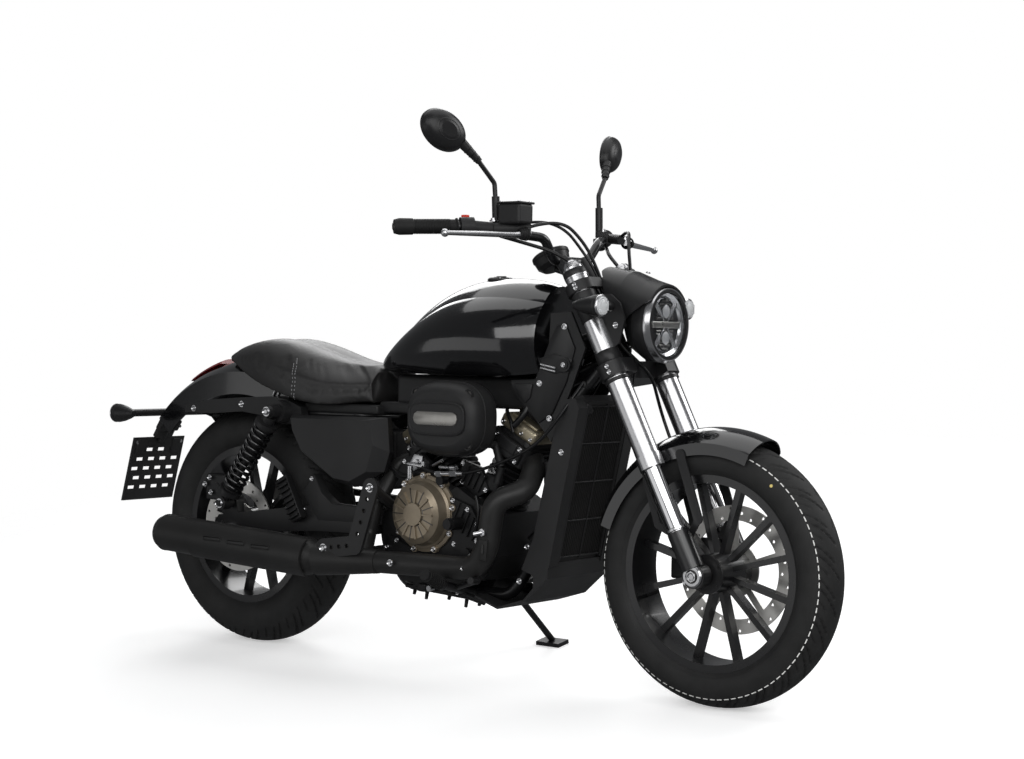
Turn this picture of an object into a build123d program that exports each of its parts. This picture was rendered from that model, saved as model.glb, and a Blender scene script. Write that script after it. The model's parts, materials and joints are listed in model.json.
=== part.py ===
from build123d import *
import os
from math import asin, atan2, cos, degrees, pi, radians, sin, tan

# Cruiser motorcycle, leaning on its side stand. Millimetres.
# Every piece is drawn on the upright machine: X forward, Y to the rider's left, Z up,
# origin on the ground midway between the axles. stand_up() leans the finished pieces.

# ---- driving dimensions ----
WHEELBASE = 1408.0
FRONT_R = 299.0              # 120/80-16 tyre
FRONT_W = 120.0
REAR_R = 310.5               # 150/80-15 tyre
REAR_W = 150.0
FRONT_RIM_R = 206.0          # bead seat
REAR_RIM_R = 193.0
FRONT_CROWN_R = 66.0         # tread radius across the tyre
REAR_CROWN_R = 80.0
LEAN = 9.0                   # degrees to the left, on the side stand
RAKE = 27.0
LEG_SPACING = 200.0          # between the fork leg axes
LEG_OFFSET = 36.0            # fork legs ahead of the steering axis
SEAT_GAP = 0.3               # a piece lies this far from what carries it
MOVE_GAP = 5.0               # least room round a moving piece
AXLE_RUN = 0.05              # radial running clearance on an axle
FENDER_R = 434.0             # rear fender, outer radius about the axle

# shift of the leaned machine that puts its origin under the middle of its box
SHIFT_X = 76.6
SHIFT_Y = -162.07
SHIFT_Z = 0.985

X_FRONT = WHEELBASE / 2
X_REAR = -WHEELBASE / 2
SIN_R, COS_R = sin(radians(RAKE)), cos(radians(RAKE))
LEG_Y = LEG_SPACING / 2


# ---- drawing helpers ----
def poly_face(plane, points):
    """Flat face through local points of a plane."""
    return make_face(plane * Polyline(*points, close=True))


def edge_face(plane, edges):
    """Flat face inside local edges of a plane."""
    return make_face([plane * edge for edge in edges])


def plate(points, y_low, y_high):
    """Outline of (x, z) points, thick from y_low to y_high."""
    face = poly_face(Plane.XZ.offset(-y_high), points)
    return extrude(face, amount=y_high - y_low, dir=(0, -1, 0))


def bar(start, end, radius, end_radius=None):
    """Round bar between two points, or a cone."""
    a, b = Vector(*start), Vector(*end)
    way = b - a
    low = Plane(origin=a, z_dir=way.normalized())
    if end_radius is None:
        return extrude(low * Circle(radius), amount=way.length)
    high = Plane(origin=b, x_dir=low.x_dir, z_dir=low.z_dir)
    return loft([low * Circle(radius), high * Circle(end_radius)])


def tube(points, radius, bends, bore=0.0):
    """Bent round tube along points, with a bend radius at each inner point."""
    path = FilletPolyline(*points, radius=bends)
    section = Plane(origin=path @ 0, z_dir=path % 0)
    solid = sweep(section * Circle(radius), path=path)
    if bore:
        solid -= sweep(section * Circle(bore), path=path)
    return solid


def turned(points, centre, y_to=1):
    """(radius, along) outline turned about an axis through centre along +Y or -Y."""
    solid = revolve(poly_face(Plane.XZ, points), axis=Axis.Z)
    return Pos(*centre) * Rot(X=-90 * y_to) * solid


def turned_along(points, origin, way):
    """(radius, along) outline turned about an axis from origin along a direction."""
    solid = revolve(poly_face(Plane.XZ, points), axis=Axis.Z)
    return Plane(origin=origin, z_dir=way).location * solid


def strap(points, width, y_low, y_high):
    """Flat strap with round ends and corners through (x, z) points."""
    face = None
    for a, b in zip(points[:-1], points[1:]):
        way = (Vector(b[0], 0, b[1]) - Vector(a[0], 0, a[1]))
        turn = degrees(atan2(way.Z, way.X))
        middle = Pos((a[0] + b[0]) / 2, (a[1] + b[1]) / 2) * Rot(Z=turn)
        span = middle * Rectangle(way.length, width)
        for end in (a, b):
            span += Pos(end[0], end[1]) * Circle(width / 2)
        face = span if face is None else face + span
    face = Plane.XZ.offset(-y_high) * face
    return extrude(face, amount=y_high - y_low, dir=(0, -1, 0))


def cross_bar(x, z, y_low, y_high, radius):
    """Round bar across the machine."""
    return bar((x, y_low, z), (x, y_high, z), radius)


def block(x, y, z, soft=0.0):
    """Box between pairs of limits, with its edges rounded."""
    centre = Pos((x[0] + x[1]) / 2, (y[0] + y[1]) / 2, (z[0] + z[1]) / 2)
    solid = Box(x[1] - x[0], y[1] - y[0], z[1] - z[0])
    if soft:
        solid = fillet(solid.edges(), soft)
    return centre * solid


def across(solid):
    """A piece and its mirror image on the other side."""
    return [solid, mirror(solid, about=Plane.XZ)]


def both_sides(solid):
    """A piece fused with its mirror image."""
    return solid + mirror(solid, about=Plane.XZ)


def on_leg(along, y=0.0, ahead=0.0):
    """Point at a height along the fork leg from the axle, and ahead of the leg's axis."""
    return (X_FRONT - along * SIN_R + ahead * COS_R, y, FRONT_R + along * COS_R + ahead * SIN_R)


FORK_UP = (-SIN_R, 0, COS_R)


def on_fender(angle, beyond):
    """(x, z) at an angle about the rear axle, so far beyond the fender's crown."""
    reach = FENDER_R + beyond
    return (X_REAR + reach * cos(radians(angle)), REAR_R + reach * sin(radians(angle)))


def fork_plane(along, ahead=0.0):
    """Plane square to the fork legs: local x ahead, local y to the left."""
    return Plane(origin=on_leg(along, 0, ahead), x_dir=(COS_R, 0, SIN_R), z_dir=FORK_UP)


# ---- wheels ----
RIM_WALL = 6.0
RIM_LIP = 12.0               # rim flange above the bead seat
LIP_W = 7.0
SPOKE_COUNT = 12
HUB_R = 44.0
AXLE_R = 9.0
DISC_THICK = 4.5
FRONT_DISC_R = 145.0
FRONT_DISC_Y = 68.0          # left side
REAR_DISC_R = 120.0
REAR_DISC_Y = -88.0          # right side
CHAIN_Y = 93.0               # left side
SPROCKET_TEETH = 42
SPROCKET_ROOT = 100.0
SPROCKET_TIP = 108.0
SPROCKET_THICK = 6.0
CHAIN_IN = 6.0               # half the room between the chain's side plates


def tyre(centre, radius, width, rim_r, crown_r):
    """Tyre as a solid ring: round tread, shoulders and walls down to the bead."""
    bead = rim_r + SEAT_GAP
    half = width / 2
    bead_half = half * 0.70
    wall_r = bead + (radius - bead) * 0.50
    tread_angle = asin(min(0.95, (half - 8) / crown_r))
    tread_y = crown_r * sin(tread_angle)
    tread_r = radius - crown_r * (1 - cos(tread_angle))
    lip_r = rim_r + RIM_LIP + SEAT_GAP
    lap = bead_half + LIP_W + 2 * SEAT_GAP
    right = [
        Polyline((bead, -bead_half), (lip_r, -bead_half), (lip_r, -lap)),
        ThreePointArc((lip_r, -lap), (wall_r, -half), (tread_r, -tread_y)),
    ]
    left = [
        ThreePointArc((tread_r, tread_y), (wall_r, half), (lip_r, lap)),
        Polyline((lip_r, lap), (lip_r, bead_half), (bead, bead_half)),
    ]
    crown = ThreePointArc((tread_r, -tread_y), (radius, 0), (tread_r, tread_y))
    base = Line((bead, bead_half), (bead, -bead_half))
    face = edge_face(Plane.XZ, right + [crown] + left + [base])
    return Pos(*centre) * Rot(X=-90) * revolve(face, axis=Axis.Z)


def cast_wheel(centre, rim_r, width, hub_low, hub_high):
    """Cast wheel: barrel with two lips, thin spokes and a bored hub."""
    half = width * 0.35 + SEAT_GAP
    lip = rim_r + RIM_LIP
    barrel = turned([
        (rim_r - RIM_WALL, -half - LIP_W), (lip, -half - LIP_W), (lip, -half),
        (rim_r, -half), (rim_r, half), (lip, half), (lip, half + LIP_W),
        (rim_r - RIM_WALL, half + LIP_W),
    ], centre)
    hub = turned([(AXLE_R + AXLE_RUN, hub_low), (HUB_R, hub_low), (HUB_R, hub_high),
                  (AXLE_R + AXLE_RUN, hub_high)], centre)
    wheel = barrel + hub
    inner = HUB_R - 6
    outer = rim_r - RIM_WALL + 2
    root = Plane(origin=(inner, 0, 0), x_dir=(0, 0, 1), z_dir=(1, 0, 0))
    tip = Plane(origin=(outer, 0, 0), x_dir=(0, 0, 1), z_dir=(1, 0, 0))
    spoke = loft([root * Rectangle(11, 30), tip * Rectangle(15, 20)], ruled=True)
    for k in range(SPOKE_COUNT):
        turn = 360.0 * (k + 0.5) / SPOKE_COUNT
        wheel += Pos(*centre) * Rot(Y=-turn) * spoke
    return wheel


def brake_disc(centre, y, radius, holes):
    """Drilled brake disc with its carrier arms, a ring that the hub carries."""
    low, high = y - DISC_THICK / 2, y + DISC_THICK / 2
    ring = turned([(radius - 34, low), (radius, low), (radius, high), (radius - 34, high)], centre)
    for k in range(holes):
        turn = 360.0 * k / holes
        reach = radius - 17 + 9 * ((k % 3) - 1)
        hole = Pos(centre[0], y, centre[2]) * Rot(Y=-turn) * Pos(reach, 0, 0) * Rot(X=90)
        ring -= hole * Cylinder(3.6, DISC_THICK * 2)
    carrier = turned([(HUB_R - 8, low), (HUB_R + 16, low), (HUB_R + 16, high),
                      (HUB_R - 8, high)], centre)
    disc = ring + carrier
    reach = (HUB_R + 12, radius - 28)
    arm = Box(reach[1] - reach[0], DISC_THICK, 16)
    for k in range(5):
        place = Pos(centre[0], y, centre[2]) * Rot(Y=-72.0 * k - 20)
        disc += place * Pos((reach[0] + reach[1]) / 2, 0, 0) * arm
    return disc


FRONT_C = (X_FRONT, 0, FRONT_R)
REAR_C = (X_REAR, 0, REAR_R)
FRONT_HUB = (-58.0, FRONT_DISC_Y - DISC_THICK / 2 - SEAT_GAP)
REAR_HUB = (REAR_DISC_Y + DISC_THICK / 2 + SEAT_GAP, CHAIN_Y - SPROCKET_THICK / 2 - SEAT_GAP)


def sprocket():
    """Rear chain wheel with trapezoid teeth and round windows."""
    points = []
    for k in range(SPROCKET_TEETH):
        for step, reach in ((0.0, SPROCKET_ROOT), (0.28, SPROCKET_ROOT),
                            (0.5, SPROCKET_TIP), (0.78, SPROCKET_TIP)):
            turn = 2 * pi * (k + step) / SPROCKET_TEETH
            points.append((reach * cos(turn), reach * sin(turn)))
    face = poly_face(Plane.XY, points) - Circle(HUB_R - 8)
    for k in range(5):
        turn = 72.0 * k
        face -= Rot(Z=turn) * Pos(70, 0) * Circle(13)
    solid = extrude(face, amount=SPROCKET_THICK)
    return Pos(X_REAR, CHAIN_Y - SPROCKET_THICK / 2, REAR_R) * Rot(X=-90) * solid


# ---- chassis ----
ARM_Y = (106.0, 132.0)       # swingarm beams, inner and outer face
PIVOT = (-215.0, 352.0)      # swingarm pivot, x and z
AXLE_END = 150.0
REAR_AXLE_BORE = 5.5
CARRIER_Y = (ARM_Y[0] - SEAT_GAP, 98.0)   # rear caliper's carrier, outer and inner face


def swingarm():
    """Two box beams from the pivot to the axle, with a cross tube ahead of the tyre."""
    beam_line = [(PIVOT[0] + 26, PIVOT[1] + 24), (PIVOT[0] + 26, PIVOT[1] - 26),
                 (-400, 320), (X_REAR - 34, REAR_R - 22), (X_REAR - 44, REAR_R + 10),
                 (X_REAR - 30, REAR_R + 28), (-420, 382)]
    beam = plate(beam_line, ARM_Y[0], ARM_Y[1])
    sx, sy, sz = SHOCK_LOW
    beam += strap([(sx, sz), (sx + 6, REAR_R + 14)], 34, ARM_Y[0], ARM_Y[1])
    beam += cross_bar(sx, sz, ARM_Y[1], sy - EYE_HALF - SEAT_GAP, 13)
    beam += cross_bar(sx, sz, ARM_Y[1], sy + EYE_HALF + 8, PIN_R)
    beam += cross_bar(PIVOT[0], PIVOT[1], CRADLE_Y + CRADLE_R + SEAT_GAP, ARM_Y[0], 19)
    arm = both_sides(beam) + cross_bar(-340, 350, -ARM_Y[0] - 4, ARM_Y[0] + 4, 22)
    return arm - cross_bar(X_REAR, REAR_R, -ARM_Y[1] - 9, ARM_Y[1] + 9, AXLE_R)


def rear_axle():
    """Hollow rear axle with a head and a nut outside the arms."""
    axle = cross_bar(X_REAR, REAR_R, -AXLE_END, AXLE_END, AXLE_R)
    spans = ((-AXLE_END + 2, -ARM_Y[1] - SEAT_GAP), (ARM_Y[1] + SEAT_GAP, AXLE_END - 2),
             (-CARRIER_Y[1] + SEAT_GAP, REAR_DISC_Y - DISC_THICK / 2 - SEAT_GAP),
             (CHAIN_Y + SPROCKET_THICK / 2 + SEAT_GAP, ARM_Y[0] - SEAT_GAP))
    for low, high in spans:
        axle += cross_bar(X_REAR, REAR_R, low, high, 15)
    return axle - cross_bar(X_REAR, REAR_R, -AXLE_END - 1, AXLE_END + 1, REAR_AXLE_BORE)


SHOCK_TOP = (-516.0, 161.0, 615.0)
SHOCK_LOW = (X_REAR + 18, 161.0, REAR_R + 62.5)
EYE_HALF = 14.0
PIN_R = 7.0


def shock_line(share):
    """Point at a share of the way down the left shock."""
    return tuple(t + (l - t) * share for t, l in zip(SHOCK_TOP, SHOCK_LOW))


SHOCK_WAY = Vector(*SHOCK_LOW) - Vector(*SHOCK_TOP)
SPRING_R = 24.5
SPRING_WIRE = 4.5
SPRING_SPAN = (0.172, 0.828)   # shares of the shock's length
SPRING_TURNS = 11


def shock():
    """Damper: eye at each end, body, rod and the two spring seats."""
    body = bar(shock_line(0.05), shock_line(0.50), 18)
    body += bar(shock_line(0.45), shock_line(0.95), 9)
    for share in (0.115, 0.845):
        body += bar(shock_line(share), shock_line(share + 0.04), SPRING_R + 5.5)
    for share in (0.0, 1.0):
        x, y, z = shock_line(share)
        body += cross_bar(x, z, y - EYE_HALF, y + EYE_HALF, 17)
        body -= cross_bar(x, z, y - EYE_HALF - 1, y + EYE_HALF + 1, PIN_R + SEAT_GAP)
    return body


def shock_spring():
    """Coil spring between the damper's seats."""
    length = SHOCK_WAY.length * (SPRING_SPAN[1] - SPRING_SPAN[0])
    coil = Helix(pitch=length / SPRING_TURNS, height=length, radius=SPRING_R)
    section = Plane(origin=coil @ 0, z_dir=coil % 0) * Circle(SPRING_WIRE)
    wire = sweep(section, path=coil, is_frenet=True)
    seat = Plane(origin=shock_line(SPRING_SPAN[0]), z_dir=SHOCK_WAY.normalized())
    return seat.location * wire


BACKBONE_R = 27.0
RAIL_R = 14.0
HEAD_TUBE_R = 30.0
LOWER_CLAMP = (478.0, 512.0)     # along the leg
TOP_CLAMP = (690.0, 714.0)
STEM_R = 14.0
STEM_TOP = 726.0
CRADLE_Y = 62.0
CRADLE_R = 15.0
RAIL_Z = 204.7               # the crankcase floor lies on the rails

RAD_LOW = (316.0, 296.0)       # foot of the radiator's front face, x and z
RAD_LENGTH = 380.3
RAD_SLOPE = radians(12)        # the radiator and the down tubes lean forward
RAD_TOP = (RAD_LOW[0] + RAD_LENGTH * sin(RAD_SLOPE), RAD_LOW[1] + RAD_LENGTH * cos(RAD_SLOPE))

BACKBONE = (on_leg(600, 0, -LEG_OFFSET), (-236.0, 0.0, 605.0))
GUSSET = (on_leg(545, 0, -LEG_OFFSET), (150.0, 0.0, 655.0))
GUSSET_R = 18.0
SEAT_RAIL = ((-220.0, 16.0, 612.0), (-290.0, 80.0, 612.0), (-488.0, 80.0, 610.0))


def frame_spine():
    """Head tube, backbone and the two seat rails."""
    low = on_leg(LOWER_CLAMP[1] + SEAT_GAP, 0, -LEG_OFFSET)
    high = on_leg(TOP_CLAMP[0] - SEAT_GAP, 0, -LEG_OFFSET)
    spine = bar(low, high, HEAD_TUBE_R)
    spine += bar(*BACKBONE, BACKBONE_R)
    spine += bar(*GUSSET, GUSSET_R)
    for side in (-1, 1):
        start, knee, end = ((x, side * y, z) for x, y, z in SEAT_RAIL)
        spine += bar(start, knee, RAIL_R) + bar(knee, end, RAIL_R)
        spine += Pos(*knee) * Sphere(RAIL_R)
    spine += cross_bar(-470, 614, -FENDER_HALF, FENDER_HALF, 11)
    spine -= bar(on_leg(LOWER_CLAMP[1] - 5, 0, -LEG_OFFSET),
                 on_leg(TOP_CLAMP[0] + 5, 0, -LEG_OFFSET), STEM_R + MOVE_GAP)
    return spine


def cradle_tube(grow=0.0):
    """Left cradle tube, or the room that it needs."""
    y = CRADLE_Y
    neck = on_leg(537.5, 26, -LEG_OFFSET - 33)
    points = [neck, (RAD_TOP[0] - 57, 42, RAD_TOP[1]), (RAD_LOW[0] - 80, 56, RAD_LOW[1] + 4),
              (176, y, RAIL_Z), (-146, y, RAIL_Z), (-212, y, 300), (-236, y, 480), (-300, 80, 616)]
    return tube(points, CRADLE_R + grow, [40, 90, 60, 60, 60, 90])


def frame_cradle():
    """Left side of the cradle: down tube, lower rail and rear upright."""
    side = cradle_tube()
    side -= bar(on_leg(500, 0, -LEG_OFFSET), on_leg(620, 0, -LEG_OFFSET), HEAD_TUBE_R + SEAT_GAP)
    side -= bar(*GUSSET, GUSSET_R + SEAT_GAP)
    for a, b in zip(SEAT_RAIL[:-1], SEAT_RAIL[1:]):
        side -= bar(a, b, RAIL_R + SEAT_GAP)
    side -= Pos(*SEAT_RAIL[1]) * Sphere(RAIL_R + SEAT_GAP)
    return side.solids().sort_by(SortBy.VOLUME)[-1]


# ---- engine ----
CRANK = (60.0, 330.0)
CASE_Y = 128.0
CYL_ANGLES = (28.0, -32.0)     # front and rear cylinder, forward of upright
FIN_COUNT = 8
CYL_FROM = 110.0
CYL_TO = 226.0
HEAD_TO = 318.0
GEAR_Y = 80.0                # left face of the gearbox, inside the chain
DRIVE_SPROCKET = (-112.0, 344.0, 38.0)
CASE_FLOOR = 220.0


def cylinder_way(angle):
    """Direction of a cylinder's axis."""
    return (sin(radians(angle)), 0, cos(radians(angle)))


def cylinder_point(angle, along, y=0.0):
    """Point along a cylinder from the crank."""
    way = cylinder_way(angle)
    return (CRANK[0] + along * way[0], y, CRANK[1] + along * way[2])


def deck_point(angle, aside):
    """(x, z) point on the crankcase deck that carries a cylinder."""
    x, _, z = cylinder_point(angle, CYL_FROM - SEAT_GAP)
    return (x + aside * cos(radians(angle)), z - aside * sin(radians(angle)))


def crankcase():
    """Crankcase and gearbox with a sump, a clutch housing and the drive sprocket."""
    front, rear = CYL_ANGLES
    crank_part = [(-60, 380), deck_point(rear, -58), deck_point(rear, 61), deck_point(front, -60),
                  deck_point(front, 64), (178, 300), (140, 242), (40, CASE_FLOOR), (-60, CASE_FLOOR)]
    gear_part = [(-150, 400), (-50, 392), (-50, CASE_FLOOR), (-104, CASE_FLOOR),
                 (-160, 268), (-178, 360)]
    case = plate(crank_part, -CASE_Y, CASE_Y - 10) + plate(gear_part, -CASE_Y, GEAR_Y)
    case += cross_bar(CLUTCH[0], CLUTCH[1], -CASE_Y, -CASE_Y + 42, CLUTCH_R + 5)
    case += plate([(-96, 224), (110, 236), (90, 184), (-70, 186)], -42, 42)
    x, z, radius = DRIVE_SPROCKET
    case += cross_bar(x, z, GEAR_Y - 1, CHAIN_Y, 14)
    return case + cross_bar(x, z, CHAIN_Y - CHAIN_IN + SEAT_GAP, CHAIN_Y + CHAIN_IN - SEAT_GAP, radius - 5)


CYL_Y = -18.0
CYL_R = 46.0
FIN_R = 62.0


def finned_cylinder(angle):
    """Cylinder with cooling fins, turned in one outline."""
    points = [(0, 0), (CYL_R, 0)]
    pitch = (CYL_TO - CYL_FROM) / FIN_COUNT
    for k in range(FIN_COUNT):
        low = pitch * k + 3
        points += [(CYL_R, low), (FIN_R, low + 1), (FIN_R, low + 4), (CYL_R, low + 5)]
    points += [(CYL_R, CYL_TO - CYL_FROM), (0, CYL_TO - CYL_FROM)]
    start = cylinder_point(angle, CYL_FROM, CYL_Y)
    return turned_along(points, start, cylinder_way(angle))


HEAD_SIZE = (122.0, 150.0)


def head_plane(angle):
    """Plane on top of a cylinder."""
    return Plane(origin=cylinder_point(angle, CYL_TO + SEAT_GAP, CYL_Y),
                 x_dir=(cos(radians(angle)), 0, -sin(radians(angle))), z_dir=cylinder_way(angle))


def head_block(angle, grow=0.0):
    """Lower block of a head, or the room it needs."""
    face = RectangleRounded(HEAD_SIZE[0] + 2 * grow, HEAD_SIZE[1] + 2 * grow, 16)
    return extrude(head_plane(angle) * face, amount=(HEAD_TO - CYL_TO) * 0.55)


def cylinder_head(angle):
    """Head and rocker cover: a block with a narrower lid."""
    plane = head_plane(angle)
    rise = HEAD_TO - CYL_TO
    head = head_block(angle)
    lid = plane.offset(rise * 0.55) * RectangleRounded(104, 134, 18)
    top = plane.offset(rise) * RectangleRounded(78, 110, 16)
    return head + loft([lid, top])


CLUTCH = (-36.0, 388.0)
CLUTCH_R = 77.0


def clutch_cover():
    """Round cover with radial ribs and a raised central disc, on the right."""
    face_y = -CASE_Y - SEAT_GAP
    cover = turned([(0, 0), (CLUTCH_R + 6, 0), (CLUTCH_R + 6, 12), (CLUTCH_R, 16),
                    (CLUTCH_R - 6, 40), (CLUTCH_R - 20, 48), (0, 48)],
                   (CLUTCH[0], face_y, CLUTCH[1]), -1)
    for k in range(9):
        spot = Pos(CLUTCH[0], face_y - 49, CLUTCH[1]) * Rot(Y=40.0 * k)
        cover += spot * Pos(42, 0, 0) * Box(34, 6, 4)
    cover += turned([(0, 44), (27, 44), (27, 53), (0, 53)], (CLUTCH[0], face_y, CLUTCH[1]), -1)
    return cover


def left_cover():
    """Alternator cover and the sprocket cover behind it, on the left."""
    face_y = CASE_Y - 10 + SEAT_GAP
    cover = turned([(0, 0), (84, 0), (84, 20), (72, 34), (0, 38)],
                   (CRANK[0], face_y, CRANK[1]), 1)
    return cover + plate([(-50, 408), (-160, 396), (-168, 296), (-60, 268), (0, 300), (0, 400)],
                         face_y, face_y + 26)


AIR_X = (-42.0, 176.0)
AIR_Z = (532.0, 706.0)
AIR_Y = (-222.0, -128.0)
AIR_DOME = ((0.0, 0.95), (0.08, 1.0), (0.5, 1.0), (0.72, 0.96), (0.88, 0.86), (0.96, 0.72))


def oval_points(length, height, square=2.7, count=28):
    """Points of a superellipse, an oval that fills its box more than an ellipse does."""
    points = []
    for k in range(count):
        c, s = cos(2 * pi * k / count), sin(2 * pi * k / count)
        x = abs(c) ** (2 / square) * length / 2
        y = abs(s) ** (2 / square) * height / 2
        points.append((x if c > 0 else -x, y if s > 0 else -y))
    return points


def air_cleaner():
    """Air cleaner: domed oval shell with a raised oval on its face and a duct to the engine."""
    length, height = AIR_X[1] - AIR_X[0], AIR_Z[1] - AIR_Z[0]
    centre = ((AIR_X[0] + AIR_X[1]) / 2, (AIR_Z[0] + AIR_Z[1]) / 2)
    base = Plane(origin=(centre[0], AIR_Y[1], centre[1]), x_dir=(1, 0, 0), z_dir=(0, -1, 0))
    depth = AIR_Y[1] - AIR_Y[0]
    rings = []
    for share, size in AIR_DOME:
        inset = (1 - size) * height
        outline = oval_points(length - inset, height - inset)
        ring = Spline(*outline, periodic=True)
        rings.append(edge_face(base.offset(depth * share), [ring]))
    shell = loft(rings)
    face = RectangleRounded(164, 76, 34)
    shell += extrude(base.offset(depth * 0.9) * face, amount=depth * 0.1)
    shell += bar((90, AIR_Y[1] - 1, 640), (60, -60, 560), 30)
    for x, z in ((-24, 572), (150, 560)):
        shell += cross_bar(x, z, AIR_Y[1] - 1, CYL_Y - HEAD_SIZE[1] / 2 - SEAT_GAP, 8)
    return shell


PIPE_R = 27.0
REAR_PIPE_R = 19.0
LOWER_PIPE = ((120.0, -190.0, 275.0), (-282.0, -208.0, 268.0))


def header_pipes():
    """Front header round to the lower pipe; the rear header joins it."""
    front = tube([(219, -50, 527), (250, -84, 505), (268, -138, 460), (214, -188, 436),
                  (200, -192, 330), (168, -190, 280), *LOWER_PIPE], PIPE_R, [40, 50, 50, 60, 50, 60])
    rear = tube([(-116, -60, 521), (-160, -84, 498), (-178, -150, 400), (-190, -160, 330),
                 (-168, -202, 272)], REAR_PIPE_R, [30, 40, 40])
    pipes = front + rear
    for angle in CYL_ANGLES:
        pipes -= head_block(angle, SEAT_GAP)
    return pipes


MUFFLER_FRONT = (-284.0, -222.0, 266.0)
MUFFLER_BACK = (-842.0, -222.0, 292.0)
MUFFLER_R = 47.0


def muffler():
    """Long round muffler with a hollow tail and a cone at its front."""
    a, b = Vector(*MUFFLER_FRONT), Vector(*MUFFLER_BACK)
    way = (b - a)
    length = way.length
    outline = [(0, 0), (30, 0), (MUFFLER_R, 46), (MUFFLER_R, length - 14),
               (MUFFLER_R - 6, length), (MUFFLER_R - 16, length), (MUFFLER_R - 18, length - 60),
               (0, length - 60)]
    return turned_along(outline, MUFFLER_FRONT, way.normalized())


def muffler_shield():
    """Curved heat shield over the muffler's outer side, with three slots."""
    a, b = Vector(*MUFFLER_FRONT), Vector(*MUFFLER_BACK)
    way = (b - a).normalized()
    start = a + way * 30
    plane = Plane(origin=start, x_dir=(0, -1, 0), z_dir=way)
    inner = MUFFLER_R + SEAT_GAP
    outer = MUFFLER_R + 5
    ring = make_face([
        plane * ThreePointArc((inner * cos(radians(62)), inner * sin(radians(62))), (inner, 0),
                              (inner * cos(radians(62)), -inner * sin(radians(62)))),
        plane * Line((inner * cos(radians(62)), -inner * sin(radians(62))),
                     (outer * cos(radians(62)), -outer * sin(radians(62)))),
        plane * ThreePointArc((outer * cos(radians(62)), -outer * sin(radians(62))), (outer, 0),
                              (outer * cos(radians(62)), outer * sin(radians(62)))),
        plane * Line((outer * cos(radians(62)), outer * sin(radians(62))),
                     (inner * cos(radians(62)), inner * sin(radians(62)))),
    ])
    shield = extrude(ring, amount=390, dir=way)
    for k in range(3):
        spot = start + way * (300 - 84 * k)
        shield -= Pos(spot.X, MUFFLER_FRONT[1] - outer, spot.Z + 12) * Box(58, 20, 8)
    return shield


HANGER_LINE = [(-112.0, 450.0), (-160.0, 310.0), (-258.0, 296.0)]
HANGER_Y = (-246.0, -238.0)


def hanger():
    """Drilled bracket from the gearbox down to the lower pipe."""
    bracket = strap(HANGER_LINE, 46, *HANGER_Y)
    for (ax, az), (bx, bz), count in ((HANGER_LINE[0], HANGER_LINE[1], 5),
                                      (HANGER_LINE[1], HANGER_LINE[2], 4)):
        for k in range(1, count):
            share = k / count
            x, z = ax + (bx - ax) * share, az + (bz - az) * share
            bracket -= cross_bar(x, z, HANGER_Y[0] - 1, HANGER_Y[1] + 1, 5)
    top, low = HANGER_LINE[0], HANGER_LINE[2]
    bracket += bar((top[0], HANGER_Y[1], top[1]), (-146, -CASE_Y + 20, 390), 12)
    bracket += cross_bar(low[0], low[1] - 8, HANGER_Y[1], LOWER_PIPE[1][1] - 10, 9)
    bracket -= bar(*LOWER_PIPE, PIPE_R + SEAT_GAP)
    return bracket - block((-180, -100), (-CASE_Y - SEAT_GAP, 0), (300, 470))


# ---- cooling ----
RAD_HALF = 86.0
RAD_THICK = 34.0
SHROUD_Y = 122.0


def radiator():
    """Radiator core: a slab that slopes with the down tubes, finned on its face."""
    (tx, tz), (lx, lz) = RAD_TOP, RAD_LOW
    outline = [(tx, tz), (lx, lz), (lx - RAD_THICK, lz), (tx - RAD_THICK, tz)]
    return plate(outline, -RAD_HALF, RAD_HALF)


def radiator_shroud():
    """Side cheeks of the radiator, joined by the top bow and the cowl below."""
    (tx, tz), (lx, lz) = RAD_TOP, RAD_LOW
    inner = RAD_HALF + SEAT_GAP
    cheek_face = [(tx + 6, tz - 14), (tx - 6, tz + 8), (tx - 48, tz + 2), (tx - 83, tz - 168), (lx - 38, lz + 54),
                  (lx - 70, lz - 20), (lx - 20, lz - 36), (lx + 8, lz - 8)]
    cheek = plate(cheek_face, -SHROUD_Y, -inner)
    shroud = both_sides(cheek)
    top = [(tx + 2, tz + SEAT_GAP), (tx - 8, tz + 14), (tx - 44, tz + 10), (tx - 46, tz + SEAT_GAP)]
    shroud += plate(top, -inner - 2, inner + 2)
    belly = [(lx + 6, lz - SEAT_GAP), (lx + 4, lz - 36), (lx - 60, lz - 94), (lx - 138, lz - 118),
             (lx - 206, lz - 96), (lx - 205, lz - 91), (lx - 138, lz - 113), (lx - 63, lz - 89),
             (lx - 36, lz - 60), (lx - 36, lz - SEAT_GAP)]
    shroud += plate(belly, -SHROUD_Y, SHROUD_Y)
    for room in across(cradle_tube(SEAT_GAP)):
        shroud -= room
    return shroud


# ---- body ----
# tank sections: place, bottom and top height, half width, shoulder height and half width
TANK = (
    (-236, 728, 752, 62, 744, 44),
    (-180, 722, 812, 112, 780, 78),
    (-70, 720, 902, 150, 858, 98),
    (70, 720, 948, 162, 902, 104),
    (190, 722, 947, 146, 902, 92),
    (262, 730, 932, 110, 892, 72),
)


def tank_section(x, low, high, half, shoulder_z, shoulder_y):
    """Tank outline across the machine: flat floor, bulged sides and a round top."""
    plane = Plane(origin=(x, 0, 0), x_dir=(0, 1, 0), z_dir=(1, 0, 0))
    mid_z = low + (shoulder_z - low) * 0.42
    floor_y = half * 0.80
    return edge_face(plane, [
        Line((-floor_y, low), (floor_y, low)),
        ThreePointArc((floor_y, low), (half, mid_z), (shoulder_y, shoulder_z)),
        ThreePointArc((shoulder_y, shoulder_z), (0, high), (-shoulder_y, shoulder_z)),
        ThreePointArc((-shoulder_y, shoulder_z), (-half, mid_z), (-floor_y, low)),
    ])


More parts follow.
